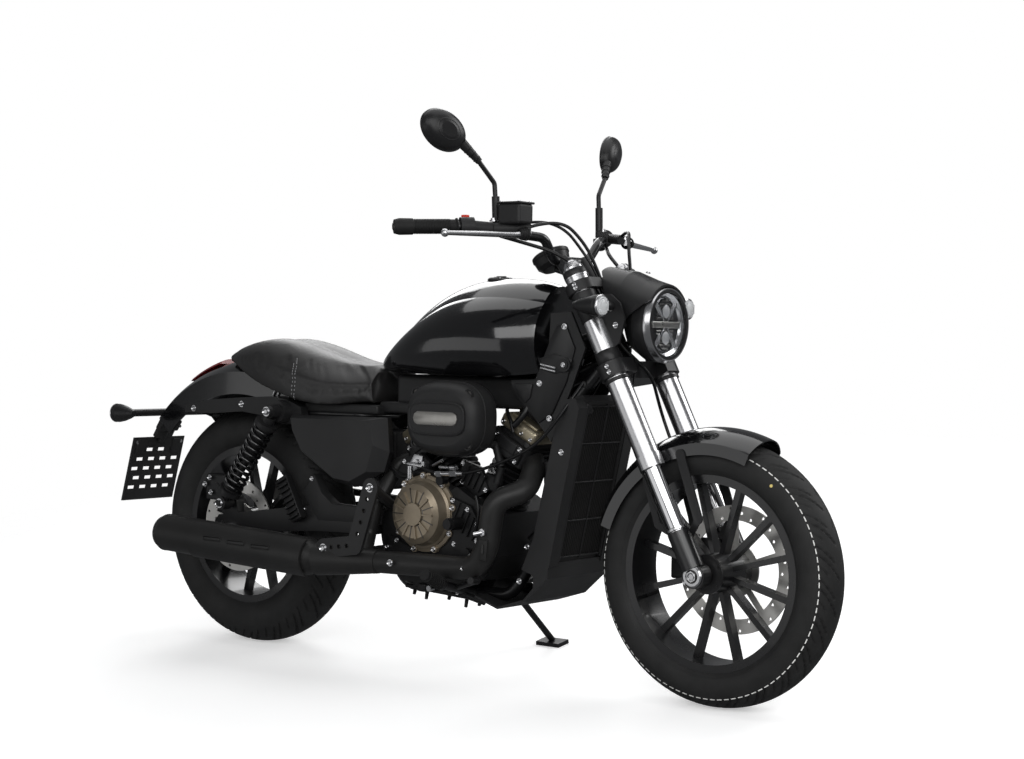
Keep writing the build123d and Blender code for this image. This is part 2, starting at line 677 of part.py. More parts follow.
def fuel_tank():
    """Teardrop tank over the backbone."""
    tank = loft([tank_section(*row) for row in TANK])
    return tank - bar(*BACKBONE, BACKBONE_R + SEAT_GAP)


# saddle sections: place, bottom and top height, half width
SADDLE = (
    (-238, 640, 730, 104),
    (-320, 637, 731, 128),
    (-440, 638, 756, 146),
    (-510, 652, 776, 145),
    (-590, 674, 789, 138),
    (-690, 712, 783, 114),
    (-762, 732, 763, 76),
)


def saddle_section(x, low, high, half):
    """Saddle outline across the machine."""
    plane = Plane(origin=(x, 0, 0), x_dir=(0, 1, 0), z_dir=(1, 0, 0))
    edge = low + (high - low) * 0.55
    return edge_face(plane, [
        Line((-half * 0.92, low), (half * 0.92, low)),
        Line((half * 0.92, low), (half, edge)),
        ThreePointArc((half, edge), (half * 0.72, high - (high - edge) * 0.22), (0, high)),
        ThreePointArc((0, high), (-half * 0.72, high - (high - edge) * 0.22), (-half, edge)),
        Line((-half, edge), (-half * 0.92, low)),
    ])


FENDER_HALF = 98.0
FENDER_WALL = 3.0
FENDER_FROM = 62.0           # degrees above the rear axle, from straight ahead
FENDER_TO = 138.0


def fender_band(radius, half, drop, wall):
    """Cross-section of a fender in (radius, y): round top and two side walls."""
    shoulder = radius - 34
    low = radius - drop
    inner_half = half - wall
    return edge_face(Plane.XZ, [
        Line((low, -half), (shoulder, -half)),
        ThreePointArc((shoulder, -half), (radius, 0), (shoulder, half)),
        Line((shoulder, half), (low, half)),
        Line((low, half), (low, inner_half)),
        Line((low, inner_half), (shoulder - 1, inner_half)),
        ThreePointArc((shoulder - 1, inner_half), (radius - wall, 0), (shoulder - 1, -inner_half)),
        Line((shoulder - 1, -inner_half), (low, -inner_half)),
        Line((low, -inner_half), (low, -half)),
    ])


def swept_about_axle(face, centre, start, end):
    """Revolve a (radius, y) section about an axle from one angle to another."""
    arc = revolve(face, axis=Axis.Z, revolution_arc=end - start)
    return Pos(*centre) * Rot(X=-90) * Rot(Z=-end) * arc


def rear_fender():
    """Rear fender arch over the tyre."""
    return swept_about_axle(fender_band(FENDER_R, FENDER_HALF, 92, FENDER_WALL), REAR_C,
                            FENDER_FROM, FENDER_TO)


def saddle():
    """Saddle: a low front and a raised rear that sits over the fender."""
    seat = loft([saddle_section(*row) for row in SADDLE], ruled=False)
    wide = FENDER_HALF + 1.0
    face = edge_face(Plane.XZ, [
        Line((150, -wide), (FENDER_R - 33, -wide)),
        ThreePointArc((FENDER_R - 33, -wide), (FENDER_R + 1, 0), (FENDER_R - 33, wide)),
        Line((FENDER_R - 33, wide), (150, wide)),
        Line((150, wide), (150, -wide)),
    ])
    return seat - swept_about_axle(face, REAR_C, FENDER_FROM - 14, FENDER_TO + 10)


STRUT_Y = (-FENDER_HALF - 26, -FENDER_HALF - SEAT_GAP)


def fender_strut():
    """Right fender strut, deeper where the shock hangs."""
    outline = [(-874, 600), (-870, 620), (-780, 636), (-664, 645), (-560, 651), (-508, 645),
               (-456, 627), (-452, 606), (-480, 584), (-544, 580), (-584, 601), (-664, 609),
               (-780, 600)]
    strut = plate(outline, STRUT_Y[0], STRUT_Y[1])
    x, y, z = SHOCK_TOP
    strut += cross_bar(x, z, -y + EYE_HALF + SEAT_GAP, STRUT_Y[0], 12)
    return strut + cross_bar(x, z, -y - EYE_HALF - 8, STRUT_Y[0], PIN_R)


COVER_Y = 126.0


def side_cover():
    """Right side cover: a faceted panel below the saddle."""
    outline = [(-470, 607), (-463, 570), (-429, 514), (-318, 448), (-254, 438), (-161, 480),
               (-144, 528), (-152, 612)]
    facet = [(-462, 600), (-455, 570), (-424, 520), (-316, 458), (-262, 452), (-208, 478),
             (-187, 544), (-204, 603)]
    base = Plane.XZ.offset(COVER_Y)
    cover = plate(outline, -COVER_Y - 14, -COVER_Y)
    cover += loft([poly_face(base.offset(14), outline), poly_face(base.offset(28), facet)], ruled=True)
    for x, z in ((-332, 598), (-420, 598)):
        cover += cross_bar(x, z, -COVER_Y, -SEAT_RAIL[1][1] - 6, 8)
    for a, b in zip(SEAT_RAIL[:-1], SEAT_RAIL[1:]):
        cover -= mirror(bar(a, b, RAIL_R + SEAT_GAP), about=Plane.XZ)
    return cover


def airbox():
    """Intake box that hugs the backbone under the tank."""
    box = block((-190, 212), (-66, 66), (642, 716), 12)
    return box - bar(*BACKBONE, BACKBONE_R + SEAT_GAP) - bar(*GUSSET, GUSSET_R + SEAT_GAP)


def battery_box():
    """Battery box between the rear uprights of the frame."""
    half = CRADLE_Y - CRADLE_R - SEAT_GAP
    return block((-330, -206), (-half, half), (430, 576), 8)


def neck_cover():
    """Right neck cover between tank and fork: upper fin and lower panel."""
    outline = [(-426, 700), (-472, 700), (-468, 640), (-412, 572), (-386, 640), (-360, 700),
               (-328, 790), (-366, 872), (-418, 868)]
    outline = [(X_FRONT + x, z) for x, z in outline]
    panel = plate(outline, -78, -69)
    panel = Pos(300, -72, 0) * Rot(Z=9) * Pos(-300, 72, 0) * panel
    panel += cross_bar(330, 772, -70, -BACKBONE_R + 8, 7)
    return panel - bar(*BACKBONE, BACKBONE_R + SEAT_GAP)


def tail_lamp():
    """Lamp that follows the fender's top."""
    wide = 46.0
    face = edge_face(Plane.XZ, [
        Line((FENDER_R + 1, -wide), (FENDER_R + 8, -wide * 0.8)),
        ThreePointArc((FENDER_R + 8, -wide * 0.8), (FENDER_R + 14, 0), (FENDER_R + 8, wide * 0.8)),
        Line((FENDER_R + 8, wide * 0.8), (FENDER_R + 1, wide)),
        Line((FENDER_R + 1, wide), (FENDER_R + 1, -wide)),
    ])
    return swept_about_axle(face, REAR_C, 106, 122)


IND_R = 24.0


def bullet(lens, way, stalk_end, length=72.0):
    """Bullet lamp body with its stalk."""
    outline = [(0, 0), (IND_R, 0), (IND_R, 14), (IND_R - 3, 30), (IND_R - 10, length - 14),
               (8, length), (0, length)]
    body = turned_along(outline, lens, way)
    middle = Vector(*lens) + Vector(*way) * 26
    return body + bar(tuple(middle), stalk_end, 10)


TAIL_BAR = on_fender(140.2, 5.9)   # cross bar behind the fender, x and z
TAIL_HALF = 30.0


def rear_indicator():
    """Right rear indicator on its stalk."""
    x, z = TAIL_BAR
    return bullet((x - 23, -190, z), (1, 0, 0), (x, -TAIL_HALF - SEAT_GAP, z), 66)


PLATE_HALF = 92.0
PLATE_DROP = 175.0             # height of the number plate board
PLATE_SLOPE = 0.27             # its foot lies this share of the height further back
PLATE_BACK = 61.0              # top of the board behind the cross bar


def plate_holder():
    """Number plate holder: arm from the fender and a slotted, leaning plate."""
    x, z = TAIL_BAR
    root_x, root_z = on_fender(134.8, -2.3)
    arm = cross_bar(x, z, -TAIL_HALF, TAIL_HALF, 11) + bar((x, 0, z), (root_x, 0, root_z), 9)
    low, high, wide = FENDER_R - 134, FENDER_R + 66, FENDER_HALF + 1
    inside = Polyline((low, -wide), (high, -wide), (high, wide), (low, wide), (low, -wide))
    arm -= swept_about_axle(edge_face(Plane.XZ, [inside]), REAR_C, 100, FENDER_TO + 0.05)
    arm = arm.solids().sort_by(SortBy.VOLUME)[-1] + bar((x, 0, z), (x - PLATE_BACK, 0, z - 84), 9)
    top_x, top_z = x - PLATE_BACK, z - 71
    foot_x, foot_z = top_x - PLATE_DROP * PLATE_SLOPE, top_z - PLATE_DROP
    board = plate([(top_x, top_z), (top_x - 6, top_z), (foot_x - 6, foot_z), (foot_x, foot_z)],
                  -PLATE_HALF, PLATE_HALF)
    for row in range(5):
        drop = 35 + 26 * row
        for col in range(4):
            y = -63 + 42 * col + (6 if row % 2 else -6)
            board -= Pos(top_x - 3 - drop * PLATE_SLOPE, y, top_z - drop) * Box(30, 26, 9)
    return arm + board


def rail_room(side):
    """Room of one lower cradle rail and what lies inside it."""
    y = side * CRADLE_Y
    rail = bar((160, y, RAIL_Z), (-120, y, RAIL_Z), CRADLE_R + SEAT_GAP)
    return rail + block((-120, 160), sorted((0, y)), (RAIL_Z - CRADLE_R, RAIL_Z + CRADLE_R))


def foot_pegs():
    """Right foot peg with its bracket."""
    knee = (88, -216, 236)
    peg = bar((70, -CRADLE_Y, RAIL_Z - 6), knee, 10)
    peg -= rail_room(-1)
    return peg + Pos(*knee) * Sphere(13) + bar(knee, (96, -290, 266), 13)


def chain():
    """Drive chain as one loop of side plates and rollers in its straight runs."""
    front = DRIVE_SPROCKET
    rear = (X_REAR, REAR_R, (SPROCKET_ROOT + SPROCKET_TIP) / 2)
    half = 8.0
    faces = []
    for grow in (half, -half):
        ends = [Pos(c[0], c[1]) * Circle(c[2] + grow) for c in (front, rear)]
        faces.append(make_hull(ends[0].edges() + ends[1].edges()))
    band = faces[0] - faces[1]
    solid = None
    for low in (CHAIN_Y - CHAIN_IN - 3, CHAIN_Y + CHAIN_IN):
        side = extrude(Plane.XZ.offset(-low - 3) * band, amount=3, dir=(0, -1, 0))
        solid = side if solid is None else solid + side
    span = Vector(front[0] - rear[0], front[1] - rear[1])
    lift = asin((rear[2] - front[2]) / span.length)
    base = atan2(span.Y, span.X)
    count = 12
    for way in (1, -1):
        turn = base + way * (pi / 2 - lift)
        foot = (rear[0] + rear[2] * cos(turn), rear[1] + rear[2] * sin(turn))
        tip = (front[0] + front[2] * cos(turn), front[1] + front[2] * sin(turn))
        for k in range(count):
            share = 0.12 + 0.86 * k / (count - 1)
            x = foot[0] + (tip[0] - foot[0]) * share
            z = foot[1] + (tip[1] - foot[1]) * share
            solid += cross_bar(x, z, CHAIN_Y - 7, CHAIN_Y + 7, 4)
    return solid


def rear_caliper():
    """Rear brake caliper round the disc, behind the right shock."""
    body = block((X_REAR - 108, X_REAR - 38), (REAR_DISC_Y - 16, REAR_DISC_Y + 18),
                 (REAR_R + 61.5, REAR_R + 129.5), 5)
    body += strap([(X_REAR - 72, REAR_R + 93.5), (X_REAR, REAR_R)], 30,
                  -CARRIER_Y[0], -CARRIER_Y[1])
    body -= cross_bar(X_REAR, REAR_R, -CARRIER_Y[0] - 1, -CARRIER_Y[1] + 1, AXLE_R + SEAT_GAP)
    slot = turned([(0, REAR_DISC_Y - 6), (REAR_DISC_R + 6, REAR_DISC_Y - 6),
                   (REAR_DISC_R + 6, REAR_DISC_Y + 6), (0, REAR_DISC_Y + 6)], REAR_C)
    return body - slot


# ---- front end ----
LEG_INNER_R = 20.5
LEG_OUTER_R = 27.0
COLLAR = (256.0, 286.0)      # along the leg
LEG_TOP = 726.0
LUG_TOP = 104.0


def fork_outer():
    """Right outer tube from its collar to the top clamp."""
    leg = bar(on_leg(COLLAR[0], -LEG_Y), on_leg(LEG_TOP, -LEG_Y), LEG_OUTER_R)
    leg += bar(on_leg(COLLAR[0], -LEG_Y), on_leg(COLLAR[1], -LEG_Y), LEG_OUTER_R + 2.5)
    return leg - bar(on_leg(COLLAR[0] - 1, -LEG_Y), on_leg(COLLAR[1] + 14, -LEG_Y), LEG_INNER_R + SEAT_GAP)


def fork_cap():
    """Right fork cap and its stepped ring."""
    return turned_along([(0, LEG_TOP + SEAT_GAP), (28, LEG_TOP + SEAT_GAP), (28, LEG_TOP + 12),
                         (24, LEG_TOP + 14), (24, LEG_TOP + 26), (17, LEG_TOP + 40), (0, LEG_TOP + 40)],
                        on_leg(0, -LEG_Y), FORK_UP)


def fork_inner():
    """Right inner tube, down into its axle lug."""
    return bar(on_leg(40, -LEG_Y), on_leg(COLLAR[1] + 12, -LEG_Y), LEG_INNER_R)


def axle_lug():
    """Right axle lug: a sleeve round the leg and the clamp eye of the axle."""
    lug = bar(on_leg(16, -LEG_Y), on_leg(LUG_TOP, -LEG_Y), LEG_INNER_R + 5)
    lug += cross_bar(X_FRONT, FRONT_R, -LEG_Y - 13, -LEG_Y + 22, 27)
    lug -= bar(on_leg(40 - SEAT_GAP, -LEG_Y), on_leg(LUG_TOP + 1, -LEG_Y), LEG_INNER_R + SEAT_GAP)
    return lug - cross_bar(X_FRONT, FRONT_R, -LEG_Y - 30, -LEG_Y + 40, AXLE_R)


FRONT_AXLE_BORE = 6.0


def front_axle():
    """Hollow front axle with a ring head at each end."""
    end = LEG_Y + 15
    axle = cross_bar(X_FRONT, FRONT_R, -end, end, AXLE_R)
    for low, high in ((-end, -LEG_Y - 13), (LEG_Y + 13, end)):
        axle += cross_bar(X_FRONT, FRONT_R, low, high, 15)
    for low, high in ((-LEG_Y + 22, FRONT_HUB[0] - SEAT_GAP),
                      (FRONT_DISC_Y + DISC_THICK / 2 + SEAT_GAP, LEG_Y - 22)):
        axle += cross_bar(X_FRONT, FRONT_R, low, high, 15)
    return axle - cross_bar(X_FRONT, FRONT_R, -end - 1, end + 1, FRONT_AXLE_BORE)


def clamp_face(along, leg_r, nose):
    """Outline of a fork clamp square to the legs."""
    plane = fork_plane(along)
    circles = [Pos(0, y) * Circle(leg_r + 8) for y in (-LEG_Y, LEG_Y)]
    circles.append(Pos(-LEG_OFFSET, 0) * Circle(26))
    circles.append(Pos(nose, 0) * Circle(16))
    edges = circles[0].edges()
    for more in circles[1:]:
        edges += more.edges()
    return plane * make_hull(edges)


def triple_clamps():
    """Lower and upper clamp on the steering stem."""
    solid = extrude(clamp_face(LOWER_CLAMP[0], LEG_OUTER_R, -6), amount=LOWER_CLAMP[1] - LOWER_CLAMP[0])
    solid -= block((484, 560), (-62, 62), (680, 800))
    solid += extrude(clamp_face(TOP_CLAMP[0], LEG_OUTER_R, -8), amount=TOP_CLAMP[1] - TOP_CLAMP[0])
    solid += bar(on_leg(LOWER_CLAMP[0], 0, -LEG_OFFSET), on_leg(STEM_TOP, 0, -LEG_OFFSET), STEM_R)
    for y in (-LEG_Y, LEG_Y):
        solid -= bar(on_leg(LOWER_CLAMP[0] - 5, y), on_leg(TOP_CLAMP[1] + 5, y), LEG_OUTER_R + 0.2)
    for y in (-42, 42):
        foot = on_leg(TOP_CLAMP[1] - 4, y, -LEG_OFFSET - 4)
        solid += bar(foot, (283, y, 994), 15)
    return solid - tube(BAR_POINTS, BAR_R + SEAT_GAP, BAR_BENDS)


BAR_R = 11.0
BAR_POINTS = [(92, -396, 1054), (190, -274, 1059), (286, -110, 1040), (283, -66, 990),
              (283, 66, 990), (286, 110, 1040), (190, 274, 1059), (92, 396, 1054)]
BAR_BENDS = [90, 30, 24, 24, 30, 90]


def handlebar():
    """Handlebar bent up from its clamps and back to the grips."""
    return tube(BAR_POINTS, BAR_R, BAR_BENDS)


def bar_line(share):
    """Point on the right grip stretch, from the bar's end inwards."""
    a, b = BAR_POINTS[0], BAR_POINTS[1]
    return tuple(p + (q - p) * share for p, q in zip(a, b))


BAR_END_WAY = tuple((Vector(*BAR_POINTS[0]) - Vector(*BAR_POINTS[1])).normalized())


def grip():
    """Right grip and bar-end weight, a sleeve on the bar."""
    length = (Vector(*BAR_POINTS[1]) - Vector(*BAR_POINTS[0])).length
    outline = [(BAR_R + SEAT_GAP, -length * 0.86), (19, -length * 0.86), (19, -length * 0.84),
               (16, -length * 0.83), (16, -34), (18.5, -32), (19, -2), (16, 10), (0, 10),
               (0, SEAT_GAP), (BAR_R + SEAT_GAP, SEAT_GAP)]
    return turned_along(outline, BAR_POINTS[0], BAR_END_WAY)


def right_control():
    """Right switch housing, master cylinder and reservoir."""
    body = bar(bar_line(0.90), bar_line(1.10), 21)
    tank = block((244, 306), (-232, -178), (1066, 1112), 7)
    body += tank + bar(bar_line(1.0), (240, -200, 1054), 15)
    body += bar((232, -226, 1056), (300, -180, 1058), 13)
    body += bar((220, -205, 1058), (220, -205, 1073.2), 9)
    return body - tube(BAR_POINTS, BAR_R + SEAT_GAP, BAR_BENDS) - lever(SEAT_GAP)


def left_control():
    """Left switch housing and clutch perch."""
    body = mirror(bar(bar_line(0.90), bar_line(1.10), 21), about=Plane.XZ)
    body += mirror(bar(bar_line(1.0), (240, -200, 1054), 15), about=Plane.XZ)
    body += bar((232, 226, 1056), (300, 186, 1050), 12)
    body += bar((220, 205, 1058), (220, 205, 1073.2), 9)
    room = mirror(lever(SEAT_GAP), about=Plane.XZ)
    return body - tube(BAR_POINTS, BAR_R + SEAT_GAP, BAR_BENDS) - room


def lever(grow=0.0):
    """Right lever with its ball end, or the room that it needs."""
    root, knee, tip = (306, -194, 1044), (296, -240, 1040), (243, -416, 1036)
    blade = bar(root, knee, 8 + grow, 7 + grow) + bar(knee, tip, 7 + grow, 5 + grow)
    return blade + Pos(*knee) * Sphere(7 + grow) + Pos(*tip) * Sphere(9 + grow)


MIRROR_C = (168.0, -330.0, 1272.0)
MIRROR_SIZE = (60.0, 43.0)     # half the length and half the height of the oval
MIRROR_TILT = radians(27)      # the outer end is the higher one
MIRROR_YAW = radians(18)
# mirror back sections: place along the axis, share of the full size
MIRROR_DOME = ((-16, 0.97), (-8, 1.0), (5, 0.92), (15, 0.68), (20, 0.36))


def mirror_piece():
    """Right mirror: sleeve, bent stalk, boot and domed oval head."""
    way = Vector(cos(MIRROR_YAW), -sin(MIRROR_YAW), 0)
    outward = Vector(-sin(MIRROR_YAW), -cos(MIRROR_YAW), 0)
    long_way = outward * cos(MIRROR_TILT) + Vector(0, 0, 1) * sin(MIRROR_TILT)
    base = Plane(origin=MIRROR_C, x_dir=long_way, z_dir=way)
    stalk = tube([(220, -205, 1090), (215, -207, 1160), (200, -262, 1218)], 5.5, [14])
    stalk += bar((220, -205, 1074), (218, -206, 1130), 9)
    boot = bar((204, -250, 1206), (182, -287, 1246), 8, 12)
    rings = [base.offset(at) * Ellipse(MIRROR_SIZE[0] * size, MIRROR_SIZE[1] * size)
             for at, size in MIRROR_DOME]
    return stalk + boot + loft(rings)


HEAD_C = (553.0, 845.0)        # headlight ring, x and z
HEAD_R = 86.0
RING_R = 80.0


def headlight_shell():
    """Round headlight bowl with its bezel."""
    outline = [(0, -100), (30, -97), (62, -74), (HEAD_R - 4, -42), (HEAD_R, -18), (HEAD_R, -4),
               (RING_R, 6), (RING_R - 8, 6), (RING_R - 8, -10), (0, -10)]
    return turned_along(outline, (HEAD_C[0], 0, HEAD_C[1]), (1, 0, 0))


def headlight_lens():
    """Clear domed front of the headlight."""
    outline = [(0, -9.7), (RING_R - 8.3, -9.7), (RING_R - 8.3, 2), (40, 8), (0, 10)]
    return turned_along(outline, (HEAD_C[0], 0, HEAD_C[1]), (1, 0, 0))


# visor sections: place, centre height, radius of the arch
VISOR = (
    (556, 845, 91.5),
    (520, 856, 91),
    (470, 884, 82),
    (398, 907, 70),
)
VISOR_LOW = radians(-14)         # the arch ends this far below its centre
VISOR_SIDE = [(556, 900), (556, 960), (398, 990), (398, 966), (411, 952), (424, 926), (446, 880),
              (500, 858), (530, 880)]


def visor_section(x, centre_z, radius):
    """Arch band across the machine, a little more than a half ring."""
    plane = Plane(origin=(x, 0, centre_z), x_dir=(0, 1, 0), z_dir=(1, 0, 0))
    inner = radius - 5
    side, foot = radius * cos(VISOR_LOW), radius * sin(VISOR_LOW)
    in_side, in_foot = inner * cos(VISOR_LOW), inner * sin(VISOR_LOW)
    return edge_face(plane, [
        ThreePointArc((side, foot), (0, radius), (-side, foot)),
        Line((-side, foot), (-in_side, in_foot)),
        ThreePointArc((-in_side, in_foot), (0, inner), (in_side, in_foot)),
        Line((in_side, in_foot), (side, foot)),
    ])


def visor():
    """Cowl over the headlight, trimmed to its outline from the side."""
    arch = loft([visor_section(*row) for row in VISOR], ruled=True)
    return arch & plate(VISOR_SIDE, -110, 110)


EAR_Y = (-104.0, -98.0)


def headlight_ear():
    """Right headlight bracket plate with the boss for its indicator."""
    outline = [(430, 800), (400, 900), (424, 910), (468, 912), (494, 892), (508, 856), (494, 802),
               (470, 786)]
    ear = plate(outline, EAR_Y[0], EAR_Y[1])
    ear += cross_bar(484, 842, EAR_Y[1], -70.5, 8)
    ear += cross_bar(470, 880, EAR_Y[1], -85.4, 8)
    return ear - bar(on_leg(450, -LEG_Y), on_leg(LEG_TOP, -LEG_Y), LEG_OUTER_R + SEAT_GAP)


def front_indicator():
    """Right front indicator on its stalk."""
    return bullet((496, -178, 884), (-1, 0, 0), (470, EAR_Y[0] - SEAT_GAP, 884), 74)


SPEEDO_C = (228.0, 998.0)


def speedometer():
    """Round instrument, tilted to the rider, on its bracket."""
    way = Vector(-0.45, 0, 0.89).normalized()
    outline = [(0, -26), (30, -26), (40, -16), (44, 4), (42, 12), (0, 12)]
    pod = turned_along(outline, (SPEEDO_C[0], 0, SPEEDO_C[1]), way)
    foot = on_leg(STEM_TOP + SEAT_GAP, 0, -LEG_OFFSET)
    knee = on_leg(STEM_TOP + 20, 0, -LEG_OFFSET)
    return pod + bar(foot, knee, 11) + Pos(*knee) * Sphere(9) + bar(knee, (242, 0, 973), 8)


FF_R = 322.0                   # front fender outer radius
FF_HALF = 70.0


def front_fender():
    """Front fender arch, close over the tyre."""
    return swept_about_axle(fender_band(FF_R, FF_HALF, 60, 3.0), FRONT_C, 68, 162)


def fender_stay():
    """Right stays from the fender to the axle lug."""
    inner = -FF_HALF - SEAT_GAP
    outer = -(LEG_Y - LEG_INNER_R - 5) + SEAT_GAP
    stay = strap([(640, 560), (690, 420)], 22, outer, inner)
    stay += strap([(552, 500), (585, 400), (650, 372)], 16, outer, inner)
    return stay + strap([(690, 420), (664, 372)], 16, outer, inner)


def front_caliper():
    """Front brake caliper behind the left leg."""
    x, z = X_FRONT - 132, FRONT_R + 20
    body = block((x - 32, x + 32), (FRONT_DISC_Y - 15, FRONT_DISC_Y + 26), (z - 52, z + 52), 6)
    body += strap([(x + 20, z + 24), (X_FRONT - 20, z + 24)], 40, FRONT_DISC_Y + 12, FRONT_DISC_Y + 22)
    body -= bar(on_leg(0, LEG_Y), on_leg(LUG_TOP + 10, LEG_Y), LEG_INNER_R + 5 + SEAT_GAP)
    body = body.solids().sort_by(SortBy.VOLUME)[-1]
    slot = turned([(0, FRONT_DISC_Y - 6), (FRONT_DISC_R + 6, FRONT_DISC_Y - 6),
                   (FRONT_DISC_R + 6, FRONT_DISC_Y + 6), (0, FRONT_DISC_Y + 6)], FRONT_C)
    return body - slot


# ---- side stand ----
STAND_PIVOT = Vector(20.0, 132.0, 198.0)
TYRE_DROP = 0.93             # the tyres' crowns sink this far when leaned
STAND_FOOT = Vector(60.0, 262.0, 262.0 * tan(radians(LEAN)) - TYRE_DROP)
STAND_FOLDED = Vector(-0.974, 0.221, 0.05)     # direction of the leg when folded
PAD_THICK = 10.0
STAND_DOWN = (STAND_FOOT + Vector(0, 0, PAD_THICK) - STAND_PIVOT).normalized()
STAND_AXIS = STAND_DOWN.cross(STAND_FOLDED).normalized()
STAND_PIN_R = 7.0
STAND_EYE = 18.0


def stand_bracket():
    """Arm from the left cradle rail with the stand's pivot pin."""
    low = STAND_PIVOT - STAND_AXIS * 10
    arm = bar((20, CRADLE_Y, RAIL_Z - 4), tuple(low - STAND_AXIS * 14), 12)
    arm += bar(tuple(low - STAND_AXIS * 18), tuple(low), 16)
    return arm + bar(tuple(low), tuple(STAND_PIVOT + STAND_AXIS * 15), STAND_PIN_R)


def side_stand():
    """Side stand: bored eye, leg and foot pad that lies on the leaned ground."""
    low = STAND_PIVOT - STAND_AXIS * (10 - 2 * SEAT_GAP)
    high = STAND_PIVOT + STAND_AXIS * 9
    ankle = STAND_FOOT + Vector(0, 0, PAD_THICK)
    stand = bar(tuple(low), tuple(high), STAND_EYE)
    stand += bar(tuple(STAND_PIVOT + STAND_DOWN * 12), tuple(ankle), 8)
    stand -= bar(tuple(low - STAND_AXIS), tuple(high + STAND_AXIS), STAND_PIN_R + AXLE_RUN)
    pad = Pos(*STAND_FOOT) * Rot(X=LEAN) * Pos(0, 0, PAD_THICK / 2) * Box(70, 44, PAD_THICK)
    return stand + pad


# ---- nodes ----
NODES = {
    "frame_spine": [frame_spine()],
    "frame_cradle": [frame_cradle() + stand_bracket(), mirror(frame_cradle(), about=Plane.XZ)],
    "swingarm": [swingarm()],
    "rear_axle": [rear_axle()],
    "shocks": across(shock()),
    "shock_springs": across(shock_spring()),
    "crankcase": [crankcase()],
    "cylinders": [finned_cylinder(a) for a in CYL_ANGLES],
    "cylinder_heads": [cylinder_head(a) for a in CYL_ANGLES],
    "clutch_cover": [clutch_cover()],
    "left_engine_cover": [left_cover()],
    "air_cleaner": [air_cleaner()],
    "header_pipes": [header_pipes()],
    "muffler": [muffler()],
    "muffler_shield": [muffler_shield()],
    "muffler_hanger": [hanger()],
    "radiator": [radiator()],
    "radiator_shroud": [radiator_shroud()],
    "fuel_tank": [fuel_tank()],
    "saddle": [saddle()],
    "rear_fender": [rear_fender()],
    "fender_struts": across(fender_strut()),
    "side_covers": across(side_cover()),
    "under_seat_boxes": [airbox(), battery_box()],
    "neck_covers": across(neck_cover()),
    "tail_lamp": [tail_lamp()],
    "rear_indicators": across(rear_indicator()),
    "plate_holder": [plate_holder()],
    "foot_pegs": across(foot_pegs()),
    "drive_chain": [chain()],
    "rear_caliper": [rear_caliper()],
    "side_stand": [side_stand()],
    "triple_clamps": [triple_clamps()],
    "fork_outer_tubes": across(fork_outer()),
    "fork_inner_tubes": across(fork_inner()),
    "fork_caps": across(fork_cap()),
    "axle_lugs": across(axle_lug()),
    "front_axle": [front_axle()],
    "handlebar": [handlebar()],
    "grips": across(grip()),
    "right_control": [right_control()],
    "left_control": [left_control()],
    "levers": across(lever()),
    "mirrors": across(mirror_piece()),
    "headlight_shell": [headlight_shell()],
    "headlight_lens": [headlight_lens()],
    "visor": [visor()],
    "headlight_ears": across(headlight_ear()),
    "front_indicators": across(front_indicator()),
    "speedometer": [speedometer()],
    "front_fender": [front_fender()],
    "fender_stays": across(fender_stay()),
    "front_caliper": [front_caliper()],
    "front_wheel": [cast_wheel(FRONT_C, FRONT_RIM_R, FRONT_W, FRONT_HUB[0], FRONT_HUB[1])],
    "front_tyre": [tyre(FRONT_C, FRONT_R, FRONT_W, FRONT_RIM_R, FRONT_CROWN_R)],
    "front_disc": [brake_disc(FRONT_C, FRONT_DISC_Y, FRONT_DISC_R, 30)],
    "rear_wheel": [cast_wheel(REAR_C, REAR_RIM_R, REAR_W, REAR_HUB[0], REAR_HUB[1])],
    "rear_tyre": [tyre(REAR_C, REAR_R, REAR_W, REAR_RIM_R, REAR_CROWN_R)],
    "rear_disc": [brake_disc(REAR_C, REAR_DISC_Y, REAR_DISC_R, 24)],
    "sprocket": [sprocket()],
}


def stand_up(solid):
    """Lean the machine to its left and move it over its origin."""
    return Pos(SHIFT_X, SHIFT_Y, SHIFT_Z) * Rot(X=-LEAN) * solid


os.makedirs("parts", exist_ok=True)
for name, solids in NODES.items():
    pieces = [s for group in solids for s in stand_up(group).solids()]
    shape = pieces[0] if len(pieces) == 1 else Compound(pieces)
    export_step(shape, f"parts/{name}.step")
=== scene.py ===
# %% [markdown]
# # A black cruiser motorcycle, dressed
# The solids come from the CAD model and fix every size. This lesson gives each solid its finish and adds
# what a solid is too coarse for: tread, stitching, bolts, fins, cables and lamp glass. Everything is built
# in the upright machine's own coordinates, in millimetres, and then leaned onto the side stand in one step.

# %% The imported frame
import bmesh
import bpy
import json
from math import asin, atan2, cos, pi, radians, sin
from mathutils import Matrix, Vector

